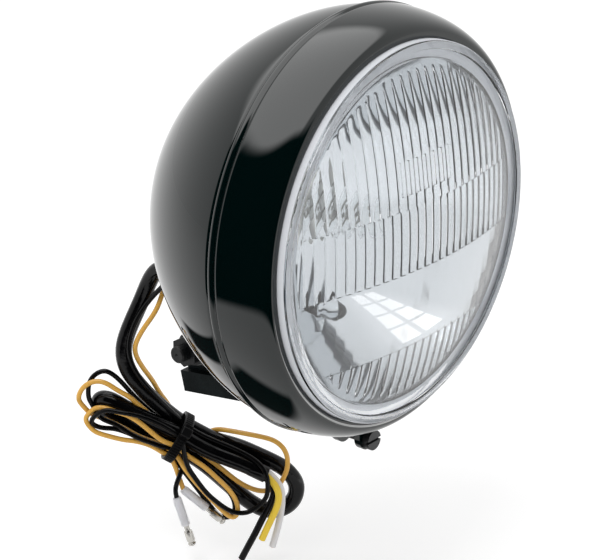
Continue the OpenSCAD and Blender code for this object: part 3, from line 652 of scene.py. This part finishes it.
# %% Bores
def bore(piece, centre, axis, radius, length):
    """Cuts a round hole through a piece, about a centre given in the frame."""
    profile = [(0, -length / 2), (radius, -length / 2), (radius, length / 2), (0, length / 2)]
    cutter = turned_piece("cutter", profile, ENAMEL, 48, centre, axis)
    cut = piece.modifiers.new("bore", "BOOLEAN")
    cut.operation = "DIFFERENCE"
    cut.object = cutter
    cut.solver = "EXACT"
    shown = piece.evaluated_get(bpy.context.evaluated_depsgraph_get())
    bored = bpy.data.meshes.new_from_object(shown)
    piece.modifiers.remove(cut)
    piece.data = bored
    bpy.data.objects.remove(cutter)


# %% [markdown]
# The ring and the bucket each carry a lug below, and one long screw draws the two together. A lug is a
# flat plate with a round end and a hole. Seen from its hole, each direction meets the outline once, so the
# plate can be laid out by angle.

# %% Lugs
LUG_X = 6.5
LUG_T = 3
LUG_END_R = 106.5
LUG_HOLE_Z = -101.5
LUG_HOLE_R = 2.75
LUG_STEPS = 48


def lug_reach(angle, top):
    """Distance from the lug's hole to its outline in one direction."""
    c, s = math.cos(angle), math.sin(angle)
    side = LUG_X / abs(c) if abs(c) > 1e-6 else 1e6
    up = top / s if s > 1e-6 else 1e6
    reach = min(side, up)
    round_z = LUG_X - LUG_END_R - LUG_HOLE_Z
    if reach * s < round_z:
        reach = round_z * s + math.sqrt(LUG_X ** 2 - (round_z * c) ** 2)
    return reach


def lug_mesh(from_s, top_z):
    """A lug from its front face backwards, and from its round end up to a height."""
    top = top_z - LUG_HOLE_Z
    corner = math.atan2(top, LUG_X)
    even = [2 * math.pi * k / LUG_STEPS for k in range(LUG_STEPS)]
    angles = sorted(even + [corner, math.pi - corner])
    count = len(angles)
    vertices = []
    for s in (from_s, from_s + LUG_T):
        for inset in (LUG_HOLE_R, None):
            for a in angles:
                r = inset or lug_reach(a, top)
                vertices.append(on_lamp(r * math.cos(a), s, LUG_HOLE_Z + r * math.sin(a)))
    hole, outline, far_hole, far_outline = (range(k * count, (k + 1) * count) for k in range(4))
    return vertices, (band(hole, outline) + band(outline, far_outline)
                      + band(far_outline, far_hole) + band(far_hole, hole))


def joined(*parts):
    """One list of vertices and faces from several."""
    vertices, faces = [], []
    for part_vertices, part_faces in parts:
        first = len(vertices)
        vertices += part_vertices
        faces += [tuple(first + i for i in face) for face in part_faces]
    return vertices, faces


# %% [markdown]
# The bucket is one deep drawing, with the curve of a drop: a superellipse with an exponent between a cone's
# and an ellipse's. The construction has it in short flat bands. In gloss black each band would show, so it
# is turned again here with close rows. Its mouth steps in to hold the trim ring.

# %% Bucket
SEAM_S = 31.1
BUCKET_R = 93.4
BUCKET_TAIL = 92.2
BUCKET_POWER = 1.67
SHEET = 1.2
MOUTH_R = 91
MOUTH_S = 22
SHELL_STEPS = 256


def shell_line(radius, depth, steps):
    """The bucket's curve from the seam to the nose, as (radius, distance behind the lens plane)."""
    line = []
    for i in range(steps + 1):
        share = math.pi / 2 * i / steps
        line.append((radius * max(0, math.cos(share)) ** (2 / BUCKET_POWER),
                     SEAM_S + depth * math.sin(share) ** (2 / BUCKET_POWER)))
    return line


outer_line = [p for p in shell_line(BUCKET_R, BUCKET_TAIL, 110) if p[1] > SEAM_S + 1.6]
inner_line = [p for p in shell_line(BUCKET_R - SHEET, BUCKET_TAIL - SHEET, 50) if p[1] > SEAM_S + 2.4]
bucket_profile = ([(MOUTH_R - SHEET, MOUTH_S), (MOUTH_R, MOUTH_S), (MOUTH_R, SEAM_S + 0.15),
                   (92.3, SEAM_S + 0.2), (92.9, SEAM_S + 0.35), (93.25, SEAM_S + 0.75),
                   (93.35, SEAM_S + 1.2)]
                  + outer_line + inner_line[::-1] + [(MOUTH_R - SHEET, SEAM_S + 1.6)])
bucket = turned_piece("bucket_shell", bucket_profile, ENAMEL, SHELL_STEPS, closed=True)

CABLE_R = 36
CABLE_S = SEAM_S + BUCKET_TAIL * (1 - (CABLE_R / BUCKET_R) ** BUCKET_POWER) ** (1 / BUCKET_POWER)
CABLE_LEAN = math.radians(30)
CABLE_AXIS = Vector((0, math.cos(CABLE_LEAN), -math.sin(CABLE_LEAN)))
bore(bucket, on_lamp(0, CABLE_S, -CABLE_R), CABLE_AXIS, radius=8, length=40)

bucket_lug = new_piece("bucket_lug", *lug_mesh(from_s=33, top_z=-92.5), ENAMEL)
print("bucket triangles:", triangles(bucket))

# %% [markdown]
# The trim ring is a pressed band that bows outwards from its flat lip by a quarter of an ellipse. Its rear
# edge is rolled to a bead, with a fine crease in front of the bead.

# %% Trim ring
LIP_S = 3
LIP_R = 83.6
CROWN_R = 86
RING_RISE = 8.8
BEAD_R = 2
BEAD_S = SEAM_S - BEAD_R
BEAD_CENTRE_R = 93.2


def ring_curve(rise, run, end, steps):
    """Points of the ring's quarter ellipse, from the crown to a share of the quarter turn."""
    turns = [math.pi / 2 * end * i / steps for i in range(steps + 1)]
    return [(CROWN_R + rise * math.sin(a), BEAD_S - run * math.cos(a)) for a in turns]


def bead_arc(from_angle, to_angle, steps):
    """Points of the bead, with angles in degrees from straight outwards towards the seam."""
    arc = []
    for i in range(steps + 1):
        a = math.radians(from_angle + (to_angle - from_angle) * i / steps)
        arc.append((BEAD_CENTRE_R + BEAD_R * math.cos(a), BEAD_S + BEAD_R * math.sin(a)))
    return arc


ring_profile = ([(LIP_R, LIP_S + 0.9), (LIP_R + 0.03, LIP_S + 0.4), (LIP_R + 0.15, LIP_S + 0.12),
                 (LIP_R + 0.5, LIP_S)]
                + ring_curve(RING_RISE, BEAD_S - LIP_S, 0.935, 56)
                + [(94.66, 26.6), (94.42, 26.95), (94.34, 27.2)]
                + bead_arc(-48, 235, 34)
                + ring_curve(RING_RISE - SHEET, BEAD_S - LIP_S - SHEET, 0.95, 30)[::-1]
                + [(LIP_R, LIP_S + SHEET)])
trim_ring = new_piece(
    "trim_ring_band",
    *joined(turn(ring_profile, SHELL_STEPS, closed=True), lug_mesh(from_s=20, top_z=-93.7)), ENAMEL)

# %% [markdown]
# The lens is one pressing: a smooth dome outside, upright flutes inside, and a stepped flange that the
# gasket grips. A flute is a shallow convex rib, so neighbours meet in a sharp valley. They come in zones
# with steps between them. The inner face is laid out in upright columns that follow the valleys. Each
# column ends on the round edge of the fluted field, and neighbouring columns are zipped with triangles.

# %% Lens: shape of the inner face
DOME_R = 250
DOME_CENTRE_S = math.sqrt(DOME_R ** 2 - 76 ** 2)
GLASS_T = 4
FIELD_R = 72.5
FLUTE_PITCH = 5.6
FLUTE_START = -1.4
COLUMN_STEP = FLUTE_PITCH / 16
COLUMNS_TO = 71.9
# Each zone: lower edge, upper edge, columns to a flute, height of a flute
FLUTE_ZONES = [(-73, -48, 16, 0.5), (-48, -12.3, 16, 0.02), (-12.3, 16, 15, 0.4), (16, 73, 16, 0.4)]
# The block of half as wide flutes: left and right side, lower and upper edge
FINE_BLOCK = (-15.4, 18.2, 22, 36.4)
STEP_HALF = 0.15


def dome(radius, x, z=0):
    """How far a sphere round the dome's centre lies behind the lens plane."""
    return DOME_CENTRE_S - math.sqrt(radius ** 2 - x * x - z * z)


def flute_height(x, z):
    """How far the inner face stands out from the plain dome, in millimetres."""
    edge = min(1, math.sqrt(max(0, (FIELD_R - math.hypot(x, z)) / 3)))
    for low, high, columns, rise in FLUTE_ZONES:
        if low <= z <= high:
            if FINE_BLOCK[0] < x < FINE_BLOCK[1] and FINE_BLOCK[2] < z < FINE_BLOCK[3]:
                columns, rise = columns / 2, rise / 2
            share = ((x - FLUTE_START) / (columns * COLUMN_STEP)) % 1
            return edge * rise * (0.1 + 4 * share * (1 - share))
    return 0


def inner_face(x, z):
    return dome(DOME_R - GLASS_T, x, z) + flute_height(x, z)


def zone_rows():
    """Heights that all columns share: close pairs at every step, and even rows between them."""
    rows = [-70 + 3.5 * k for k in range(41)]
    for edge in (-48, -12.3, 16, FINE_BLOCK[2], FINE_BLOCK[3]):
        rows = [z for z in rows if abs(z - edge) > 0.8] + [edge - STEP_HALF, edge + STEP_HALF]
    return sorted(rows)


def lens_columns():
    """Columns on every sixteenth of a flute, and closer ones where the round edge turns upright."""
    first = FLUTE_START - COLUMN_STEP * math.floor((COLUMNS_TO + FLUTE_START) / COLUMN_STEP)
    columns = [first + COLUMN_STEP * k for k in range(int((COLUMNS_TO - first) / COLUMN_STEP) + 1)]
    limit = max(abs(columns[0]), abs(columns[-1]))
    for k in range(9):
        x = FIELD_R * math.cos(math.radians(0.8 * k))
        if x > limit + 0.05:
            columns += [x, -x]
    return sorted(columns)


# %% [markdown]
# The columns become one closed mesh. Their ends, sorted by angle, are the first ring. From there, bands of
# quads run over the edge of the glass, round its flange and its lip, and up the smooth dome to the middle.

# %% Lens: mesh
EDGE_R = 74.8
GLASS_EDGE = [(EDGE_R, dome(DOME_R - GLASS_T, EDGE_R)), (EDGE_R, 7.95), (87.45, 7.95), (87.45, 5.05),
              (83, 5.05), (83, -0.55), (82.85, -0.95), (82.4, -1.1), (79.9, -0.9), (79.6, -0.5),
              (79.5, 0), (76.1, 0)]
DOME_RINGS = [75.9] + [74 - 4.1 * k for k in range(18)] + [2]


def zip_columns(left, right, height):
    """Triangles between two columns of vertex numbers that need not be equally long."""
    faces = []
    i = j = 0
    while i < len(left) - 1 or j < len(right) - 1:
        left_next = height[left[i + 1]] if i < len(left) - 1 else 1e9
        right_next = height[right[j + 1]] if j < len(right) - 1 else 1e9
        if left_next <= right_next:
            faces.append((left[i], left[i + 1], right[j]))
            i += 1
        else:
            faces.append((left[i], right[j + 1], right[j]))
            j += 1
    return faces


def lens_mesh():
    vertices, faces, height = [], [], {}
    rim = {}
    columns = []
    for x in lens_columns():
        end = math.sqrt(max(0, FIELD_R ** 2 - x * x))
        heights = [-end] + [z for z in zone_rows() if abs(z) < end - 0.25] + [end]
        if end < 0.01:
            heights = [0]
        column = []
        for z in heights:
            height[len(vertices)] = z
            column.append(len(vertices))
            vertices.append(on_lamp(x, inner_face(x, z), z))
        rim[math.atan2(-end, x)] = column[0]
        rim[math.atan2(end, x)] = column[-1]
        columns.append(column)
    for left, right in zip(columns, columns[1:]):
        faces += zip_columns(left, right, height)
    angles = sorted(rim)
    previous = [rim[a] for a in angles]
    for radius, s in GLASS_EDGE + [(r, dome(DOME_R, r)) for r in DOME_RINGS]:
        first = len(vertices)
        vertices += [on_lamp(radius * math.cos(a), s, radius * math.sin(a)) for a in angles]
        ring = range(first, len(vertices))
        faces += band(previous, ring)
        previous = ring
    centre = len(vertices)
    vertices.append(on_lamp(0, dome(DOME_R, 0), 0))
    faces += [(one, following, centre) for one, following, _, _ in band(previous, previous)]
    return vertices, faces


lens = new_piece("lens_pressing", *lens_mesh(), LENS_GLASS, smooth_angle=24)
print("lens triangles:", triangles(lens))

# %% [markdown]
# A seal wraps the flange of the glass. Its lip stands round the exposed wall of the lens, and its
# thin back bonds the lens to the reflector. Its pale colour is painted light: seen through the flange, it stands in
# for the light that the glass's edge scatters, and makes the border of the lens read as light grey.

# %% Gasket
ROUND_STEPS = 192
seal_lip = [(83.04, 5), (83.04, 0.1), (83.45, 0.1), (83.45, LIP_S + SHEET + 0.02),
            (CROWN_R, LIP_S + SHEET + 0.02), (CROWN_R + 1.2, 5)]
seal_back = [(75.2, 7.96), (87.4, 7.96), (87.4, 7.99), (75.2, 7.99)]
gasket = new_piece(
    "gasket_band",
    *joined(turn(seal_lip, ROUND_STEPS, closed=True), turn(seal_back, ROUND_STEPS, closed=True)), PALE_SEAL_PAINTED_LIGHT)

# %% [markdown]
# The reflector is a true paraboloid, so its mirror must be smooth: what the flutes show is the far side of
# this bowl. It is turned from the formula with the focal length, and bored for the pilot lamp.

# %% Reflector
FOCAL = 26
VERTEX_S = 71.5
NECK_R = 21.5
RIM_R = 80
BOWL_STEPS = 48


def bowl_line(out):
    """The paraboloid from neck to rim, moved back by the thickness of the sheet for its outer side."""
    radii = [NECK_R + (RIM_R - NECK_R) * i / BOWL_STEPS for i in range(BOWL_STEPS + 1)]
    return [(r, VERTEX_S + out - r * r / (4 * FOCAL)) for r in radii]


reflector_profile = ([(NECK_R - 1.5, 68.1), (NECK_R - 1.5, 67.1)] + bowl_line(0)
                     + [(RIM_R, 8), (87.5, 8), (87.5, 8.95), (RIM_R + 1, 8.95)] + bowl_line(1)[::-1])
reflector = turned_piece("reflector_bowl", reflector_profile, MIRROR, ROUND_STEPS, closed=True)
bore(reflector, on_lamp(0, 55, -45), (0, 1, 0), radius=5, length=50)

# %% [markdown]
# Two bullet terminals end the pilot wires. Each is a tinned, crimped barrel with a ball tip, and its crimp
# sits in a soft clear sleeve. Barrel and sleeve are turned about the line on which they hang.

# %% Bullet terminals
BULLET_PROFILE = [
    (0, 7), (1.5, 7), (1.75, 7.4), (1.75, 9.2), (1.5, 9.5), (1.5, 10), (1.8, 10.3), (1.8, 13.4),
    (1.35, 14.2), (1.3, 17.9), (1.5, 18.3), (2.0, 18.5), (2.1, 18.8), (2.1, 23.5), (1.95, 23.8),
    (1.35, 24), (1.3, 24.4), (1.7, 24.7), (2.02, 25.1), (2.02, 25.5), (1.7, 26.1), (0.9, 26.55), (0, 26.6)]
SLEEVE_PROFILE = [(1.25, -0.4), (1.9, -0.2), (2.1, 0.5), (2.2, 1.2), (2.16, 14.7), (2.1, 15), (1.92, 15),
                  (1.88, 14.7), (1.88, 1.6), (1.25, 0.6)]
BULLET_STEPS = 40


def hang_bullet(name, start, end):
    """A bullet terminal and its clear sleeve along a line in the harness plane."""
    a, b = in_plane(*start), in_plane(*end)
    metal = turned_piece(name + "_metal", BULLET_PROFILE, TINNED, BULLET_STEPS, a, b - a)
    cover = turned_piece(name + "_cover", SLEEVE_PROFILE, CLEAR_PVC, BULLET_STEPS, a, b - a, closed=True)
    return metal, cover


upper_metal, upper_cover = hang_bullet("bullet_high", (14, -165, 3), (34, -183, 3))
lower_metal, lower_cover = hang_bullet("bullet_low", (11, -168, 6.5), (18.5, -194, 6.5))

# %% [markdown]
# The sleeve's mouth is an open tube end, and each heavy lead shows a disc of copper where it was cut.

# %% Cut ends
MOUTH_PROFILE = [(4.02, -6), (4.15, -5.6), (4.2, 2.4), (4.1, 2.8), (3.8, 2.9), (3.55, 2.6), (3.5, -0.5),
                 (0, -0.6), (0, -6)]
COPPER_PROFILE = [(0, -1), (1.05, -1), (1.05, 0.35), (0.9, 0.5), (0, 0.5)]


def end_of(line):
    """The last point of a wire and its direction there."""
    return line[-1], (line[-1] - line[-3]).normalized()


mouth = turned_piece("sleeve_mouth", MOUTH_PROFILE, SLEEVE_PVC, 64, *end_of(sleeve_line))
copper_ends = []
for name, line in (("yellow", yellow_line), ("white", white_line), ("black", black_lead_line)):
    copper_ends.append(turned_piece("copper_" + name, COPPER_PROFILE, COPPER, 32, *end_of(line)))

# %% [markdown]
# The cable tie is a nylon strap with fine ribs across it, drawn tight round the hank. Its path is a loop
# in the cross-section of the hank, and the ribs are steps in its thickness along that loop. The head is a
# small block on the upper edge, and the trimmed tail looks out of it.

# %% Cable tie
TIE_CENTRE = (11.8, -138.9)
HANK_WAY = (0.859, -0.511)
TIE_LOOP = [(0, 10.9), (4.6, 10.5), (8.6, 8.4), (10.5, 4.4), (10.9, -1.5), (9.9, -6.6), (6.2, -9.2),
            (0, -9.6), (-6, -8.9), (-9.8, -6.3), (-10.9, -1.4), (-10.7, 3.2), (-9, 7.4), (-5, 10.2)]
TIE_STEPS = 14
TIE_HALF = 2.4
RIB_T = 1.28
GROOVE_T = 0.9
# Half of the strap's section: place along the hank and thickness, which changes where it is None
HALF_SECTION = [(1.65, None), (1.75, 1.3), (TIE_HALF - 0.15, 1.3), (TIE_HALF, 1.15), (TIE_HALF, 0)]


def across_hank(q, out, along):
    """A point by its place across the hank, out of the plane, and along the hank from the tie."""
    return in_plane(TIE_CENTRE[0] - HANK_WAY[1] * q + HANK_WAY[0] * along,
                    TIE_CENTRE[1] + HANK_WAY[0] * q + HANK_WAY[1] * along, out)


def tie_stations():
    """Closed smooth loop of (place, outward direction) in the cross-section."""
    loop = [Vector(p) for p in TIE_LOOP]
    path = []
    for i in range(len(loop)):
        a, b, c, d = (loop[(i + k - 1) % len(loop)] for k in range(4))
        path += [between(a, b, c, d, j / TIE_STEPS) for j in range(TIE_STEPS)]
    stations = []
    for i, p in enumerate(path):
        way = path[(i + 1) % len(path)] - path[i - 1]
        out = Vector((-way.y, way.x)).normalized()
        if out.dot(p) < 0:
            out = -out
        stations.append((p, out))
    return stations


def tie_strap():
    section = [(-along, thick) for along, thick in HALF_SECTION[::-1]] + HALF_SECTION
    vertices, rings = [], []
    for i, (p, out) in enumerate(tie_stations()):
        rib = RIB_T if i % 4 < 2 else GROOVE_T
        rings.append(range(len(vertices), len(vertices) + len(section)))
        for along, thick in section:
            q = p + out * (rib if thick is None else thick)
            vertices.append(across_hank(q.x, q.y, along))
    faces = []
    for near, far in zip(rings, rings[1:] + rings[:1]):
        faces += band(near, far)
    return vertices, faces


def soft_box(name, centre, size, degrees, bevel):
    """A bevelled nylon block in the tie's cross-section: sizes across, out and along, in millimetres."""
    c, s = math.cos(math.radians(degrees)), math.sin(math.radians(degrees))
    vertices = []
    for q in (-size[0] / 2, size[0] / 2):
        for out in (-size[1] / 2, size[1] / 2):
            for along in (-size[2] / 2, size[2] / 2):
                vertices.append(across_hank(centre[0] + q * c - out * s, centre[1] + q * s + out * c,
                                            centre[2] + along))
    faces = [(0, 1, 3, 2), (4, 6, 7, 5), (0, 4, 5, 1), (2, 3, 7, 6), (0, 2, 6, 4), (1, 5, 7, 3)]
    box = new_piece(name, vertices, faces, NYLON)
    bevel_edges(box, bevel, segments=4)
    return box


tie = new_piece("tie_strap", *tie_strap(), NYLON, smooth_angle=28)
tie_head = soft_box("tie_head", (8.6, 11, 0.2), (4.6, 3.8, 5.2), -42, bevel=0.7)
tie_tail = soft_box("tie_tail", (11.2, 9.4, 0.2), (2.2, 1.2, 4.2), -42, bevel=0.25)

# %% [markdown]
# Each new piece says which piece of the construction it stands for, and that plain one is then hidden. It
# also takes the name of a finish slot, so that whoever uses the lamp can repaint all its enamel at once.

# %% Say which pieces stand for which
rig.replaces(bucket, "bucket")
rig.replaces(bucket_lug, "bucket")
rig.replaces(trim_ring, "trim_ring")
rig.replaces(lens, "lens")
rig.replaces(gasket, "lens_gasket")
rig.replaces(reflector, "reflector")
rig.replaces(upper_metal, "bullet_upper")
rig.replaces(lower_metal, "bullet_lower")
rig.replaces(upper_cover, "bullet_sleeve_upper")
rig.replaces(lower_cover, "bullet_sleeve_lower")
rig.replaces(tie, "cable_tie")
for slot_name, slot_pieces in {
        "black_paint": [bucket, bucket_lug, trim_ring], "lens_glass": [lens], "mirror_coat": [reflector],
        "tinned_brass": [upper_metal, lower_metal] + copper_ends, "clear_pvc": [upper_cover, lower_cover],
        "tie_nylon": [tie, tie_head, tie_tail], "black_pvc": [sleeve, mouth, black_wire, black_lead],
        "orange_pvc": [orange_wire], "yellow_pvc": [yellow_lead], "white_pvc": [white_lead, gasket]}.items():
    for piece in slot_pieces:
        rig.slot(piece, slot_name)

# %% [markdown]
# The photograph was taken in a white studio: a pale floor and a white surround, which glass and metal show
# too. The floor's own colour leaves room for the lamp's shadow. A little glow, which only the camera, gloss
# and glass can see, lifts it to white.

# %% Floor
FLOOR_Z = frame_box[0][2] - 0.004
FLOOR_HALF = 3.0
FLOOR_GLOW = 0.3


def looked_at(tree):
    """One for rays from the camera, gloss and glass, and nought for plain light."""
    path = add_node(tree, "LightPath", {})
    either = combine(tree, "MAXIMUM", path.outputs["Is Camera Ray"], path.outputs["Is Glossy Ray"])
    return combine(tree, "MAXIMUM", either, path.outputs["Is Transmission Ray"])


def stage_piece(name, vertices, faces, material):
    """A mesh of the studio, which isn't part of the lamp."""
    mesh = bpy.data.meshes.new(name)
    mesh.from_pydata([tuple(v) for v in vertices], [], faces)
    mesh.materials.append(material)
    piece = add_object(name, mesh)
    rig.stage(piece)
    return piece


floor_white = new_finish("floor_white", (0.84, 0.84, 0.84), 0.9, Specular_IOR_Level=0.0,
                         Emission_Color=(1, 1, 1, 1))
floor_tree = floor_white.node_tree
floor_tree.links.new(combine(floor_tree, "MULTIPLY", looked_at(floor_tree), FLOOR_GLOW),
                     floor_tree.nodes["Principled BSDF"].inputs["Emission Strength"])
floor_corners = [(-1, -1), (1, -1), (1, 1), (-1, 1)]
stage_piece("floor", [(x * FLOOR_HALF, y * FLOOR_HALF, FLOOR_Z) for x, y in floor_corners],
            [(0, 1, 2, 3)], floor_white)

# %% [markdown]
# The surround is the world. It is plain white to whatever looks at it, and a little weaker as a light, so
# that the palest surfaces keep their colour.

# %% World
PLAIN_LIGHT = 0.86
world = bpy.data.worlds.new("studio")
bpy.context.scene.world = world
world.use_nodes = True
world_tree = world.node_tree
background = world_tree.nodes["Background"]
background.inputs["Color"].default_value = (1, 1, 1, 1)
strength = add_node(world_tree, "MapRange", {"Value": looked_at(world_tree), "To Min": PLAIN_LIGHT,
                                             "To Max": 1.0})
world_tree.links.new(strength.outputs["Result"], background.inputs["Strength"])
bpy.context.scene.view_settings.view_transform = "Standard"

# %% [markdown]
# One large soft lamp above the left shoulder gives the shapes their direction. Gloss doesn't see it, because
# its reflection would be a hard white square on the enamel.

# %% Key light
KEY_PLACE = on_lamp(-900, -200, 1500)
key_data = bpy.data.lights.new("key", "AREA")
key_data.shape = "SQUARE"
key_data.size = 0.9
key_data.energy = 9
key = add_object("key", key_data)
key.location = KEY_PLACE
key.rotation_mode = "QUATERNION"
key.rotation_quaternion = (LAMP - KEY_PLACE).to_track_quat("-Z", "Y")
key.visible_glossy = False

# %% [markdown]
# Gloss black is only as good as what it reflects. A large bright panel hangs overhead, and a dark card
# stands between lamp and camera. They give the enamel its deep black in the middle and its soft grey above.
# A card is a sheet with soft edges that only gloss can see, so it doesn't change the light on the lamp.

# %% Studio cards
def soft_edges(tree, fades):
    """One on a card and nought at its edges. fades are the soft widths left, right, below and above."""
    spot = add_node(tree, "UVMap", {})
    axes = add_node(tree, "SeparateXYZ", {"Vector": spot.outputs["UV"]})
    solid = 1
    for axis, edge, full in (("X", 0, fades[0]), ("X", 1, 1 - fades[1]),
                             ("Y", 0, fades[2]), ("Y", 1, 1 - fades[3])):
        if edge != full:
            ramp = add_node(tree, "MapRange", {"Value": axes.outputs[axis], "From Min": edge,
                                               "From Max": full})
            ramp.interpolation_type = "SMOOTHSTEP"
            solid = combine(tree, "MULTIPLY", solid, ramp.outputs["Result"])
    return solid


def card_finish(name, strength, fades, through_glass):
    """A glow that fades out towards the card's edges, and weakens for light that has passed through glass."""
    material = bpy.data.materials.new(name)
    material.use_nodes = True
    tree = material.node_tree
    tree.nodes.clear()
    solid = soft_edges(tree, fades)
    if through_glass < 1:
        path = add_node(tree, "LightPath", {})
        seen = add_node(tree, "MapRange", {"Value": path.outputs["Transmission Depth"], "To Min": 1,
                                           "To Max": through_glass})
        solid = combine(tree, "MULTIPLY", solid, seen.outputs["Result"])
    clear = add_node(tree, "BsdfTransparent", {})
    glow = add_node(tree, "Emission", {"Strength": strength})
    mix = add_node(tree, "MixShader", {0: solid, 1: clear.outputs[0], 2: glow.outputs[0]})
    add_node(tree, "OutputMaterial", {"Surface": mix.outputs[0]})
    return material


def studio_card(name, place, strength, fades, steps=32, through_glass=1.0):
    """A card in so many steps, where place(u, v) gives its points."""
    row = steps + 1
    vertices = [place(i / steps, j / steps) for j in range(row) for i in range(row)]
    starts = [j * row + i for j in range(steps) for i in range(steps)]
    faces = [(a, a + 1, a + row + 1, a + row) for a in starts]
    card = stage_piece(name, vertices, faces, card_finish(name, strength, fades, through_glass))
    spots = card.data.uv_layers.new(name="card").data
    for loop in card.data.loops:
        spots[loop.index].uv = ((loop.vertex_index % row) / steps, (loop.vertex_index // row) / steps)
    card.visible_camera = False
    card.visible_diffuse = False
    card.visible_transmission = False
    card.visible_shadow = False


CARD_TOP = 0.86
CARD_ARCH = 0.57


def standing_card(azimuths, bottom, distances):
    """Places on an upright curved card round the lamp. Azimuths count from the front, in degrees."""
    def place(u, v):
        a = math.radians(azimuths[0] + (azimuths[1] - azimuths[0]) * u)
        distance = distances[0] + (distances[1] - distances[0]) * u
        top = LAMP.z + distance * (CARD_TOP + CARD_ARCH * math.sin(math.pi * u) ** 2)
        return Vector((LAMP.x + distance * math.sin(a), LAMP.y - distance * math.cos(a),
                       bottom + (top - bottom) * v))
    return place


def overhead_panel(lowest, tilt, tilt_to, distance):
    """Places on a round bowl of light above the lamp. Its edge dips by the tilt on one side, in degrees."""
    def place(u, v):
        a = 2 * math.pi * u
        edge = lowest - tilt * math.cos(a - math.radians(tilt_to))
        e = math.radians(edge + (90 - edge) * v)
        way = Vector((math.cos(e) * math.sin(a), -math.cos(e) * math.cos(a), math.sin(e)))
        return LAMP + distance * way
    return place


studio_card("dark_card", standing_card((-129, -4), FLOOR_Z + 0.001, (0.42, 0.24)), strength=0.0,
            fades=(0.03, 0.06, 0.07, 0.16), through_glass=0.4)
studio_card("overhead_panel", overhead_panel(lowest=42, tilt=8, tilt_to=-120, distance=1.5), strength=3.3,
            fades=(0, 0, 0.2, 0))

# %% [markdown]
# More cards lie on the floor. A low lit box stands in front, to the right, in a soft pool of its own light.
# Its cells give the lens the bright patch with dark seams. On the other side lie two near-black patches of
# painted shade, which only gloss sees. They stand in for the shade and the dark harness that the low part of the trim
# ring and the bucket's lower edge reflect.

# %% Lit box and painted shade patches
def flat_card(corners, across, down, lift):
    """Places on part of a four-cornered card that lies just above the floor, in millimetres."""
    def place(u, v):
        share = across[0] + (across[1] - across[0]) * u
        near = Vector(corners[0]).lerp(Vector(corners[1]), share)
        far = Vector(corners[3]).lerp(Vector(corners[2]), share)
        x, y = near + (far - near) * (down[0] + (down[1] - down[0]) * v)
        return Vector((LAMP.x + x * MM, LAMP.y + y * MM, FLOOR_Z + lift * MM))
    return place


BOX_CORNERS = [(155, -349), (208, -320), (272, -93), (176, -132)]
CELLS_ACROSS = 2
CELLS_DOWN = 4
SEAM_ACROSS = 0.04
SEAM_DOWN = 0.03
# Corners of the two near-black floor patches of painted shade, seen only in gloss
SHADE_PATCH_CORNERS = [(-160, 130), (-80, 190), (0, 80), (-90, -55)]
SHADE_PATCH_TAIL_CORNERS = [(-225, 175), (30, 360), (30, 285), (-100, 150)]
for i in range(CELLS_ACROSS):
    for j in range(CELLS_DOWN):
        across = ((i + SEAM_ACROSS) / CELLS_ACROSS, (i + 1 - SEAM_ACROSS) / CELLS_ACROSS)
        down = ((j + SEAM_DOWN) / CELLS_DOWN, (j + 1 - SEAM_DOWN) / CELLS_DOWN)
        studio_card(f"box_cell_{i}_{j}", flat_card(BOX_CORNERS, across, down, lift=2), strength=6.0,
                    fades=(0.14, 0.14, 0.07, 0.07), steps=8)
studio_card("box_pool", flat_card(BOX_CORNERS, (-0.6, 1.5), (-0.2, 1.3), lift=1.5), strength=2.6,
            fades=(0.4, 0.4, 0.3, 0.3), steps=12)
# Painted shade: near-black cards standing in for the shade and harness reflected low on the ring and bucket
for name, corners in (("cloth", SHADE_PATCH_CORNERS), ("cloth_tail", SHADE_PATCH_TAIL_CORNERS)):
    studio_card(name, flat_card(corners, (0, 1), (0, 1), lift=1), strength=0.02,
                fades=(0.22, 0.22, 0.18, 0.18), steps=12)

# %% [markdown]
# A wire has a real length, which stays the same however it is laid. So each one is declared with the length
# measured along its own curve, its diameter, and what is on its far end.

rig.replaces(sleeve, "harness_sleeve", "harness_hank")
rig.replaces(orange_wire, "orange_wire", "orange_end")
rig.replaces(black_wire, "black_wire", "black_end")
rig.replaces(yellow_lead, "lead_yellow")
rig.replaces(white_lead, "lead_white")
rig.replaces(black_lead, "lead_black")
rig.cord(sleeve, exit=sleeve_line[0], length=round(route_length(sleeve_line), 3), diameter=SLEEVE_D,
        far_end="bare", stiffness="medium", lay="hanging")
for wire, line, ending in ((orange_wire, orange_line, [upper_metal, upper_cover]),
                           (black_wire, black_line, [lower_metal, lower_cover])):
    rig.cord(wire, exit=line[0], length=round(route_length(line), 3), diameter=WIRE_D, far_end="connector",
            stiffness="limp", lay="hanging", with_pieces=ending)
for lead, line in ((yellow_lead, yellow_line), (white_lead, white_line), (black_lead, black_lead_line)):
    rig.cord(lead, exit=line[0], length=round(route_length(line), 3), diameter=LEAD_D, far_end="bare",
            stiffness="medium", lay="hanging")

# %% [markdown]
# Last, the box of the construction and the box of the dressed lamp are written down, so that anyone can
# see that the dressing hasn't changed the size.

# %% Write the sizes and finish
with open("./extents.json", "w") as size_file:
    json.dump({"cad": [list(corner) for corner in frame_box],
               "visual": [list(corner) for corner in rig.bounds()]}, size_file)
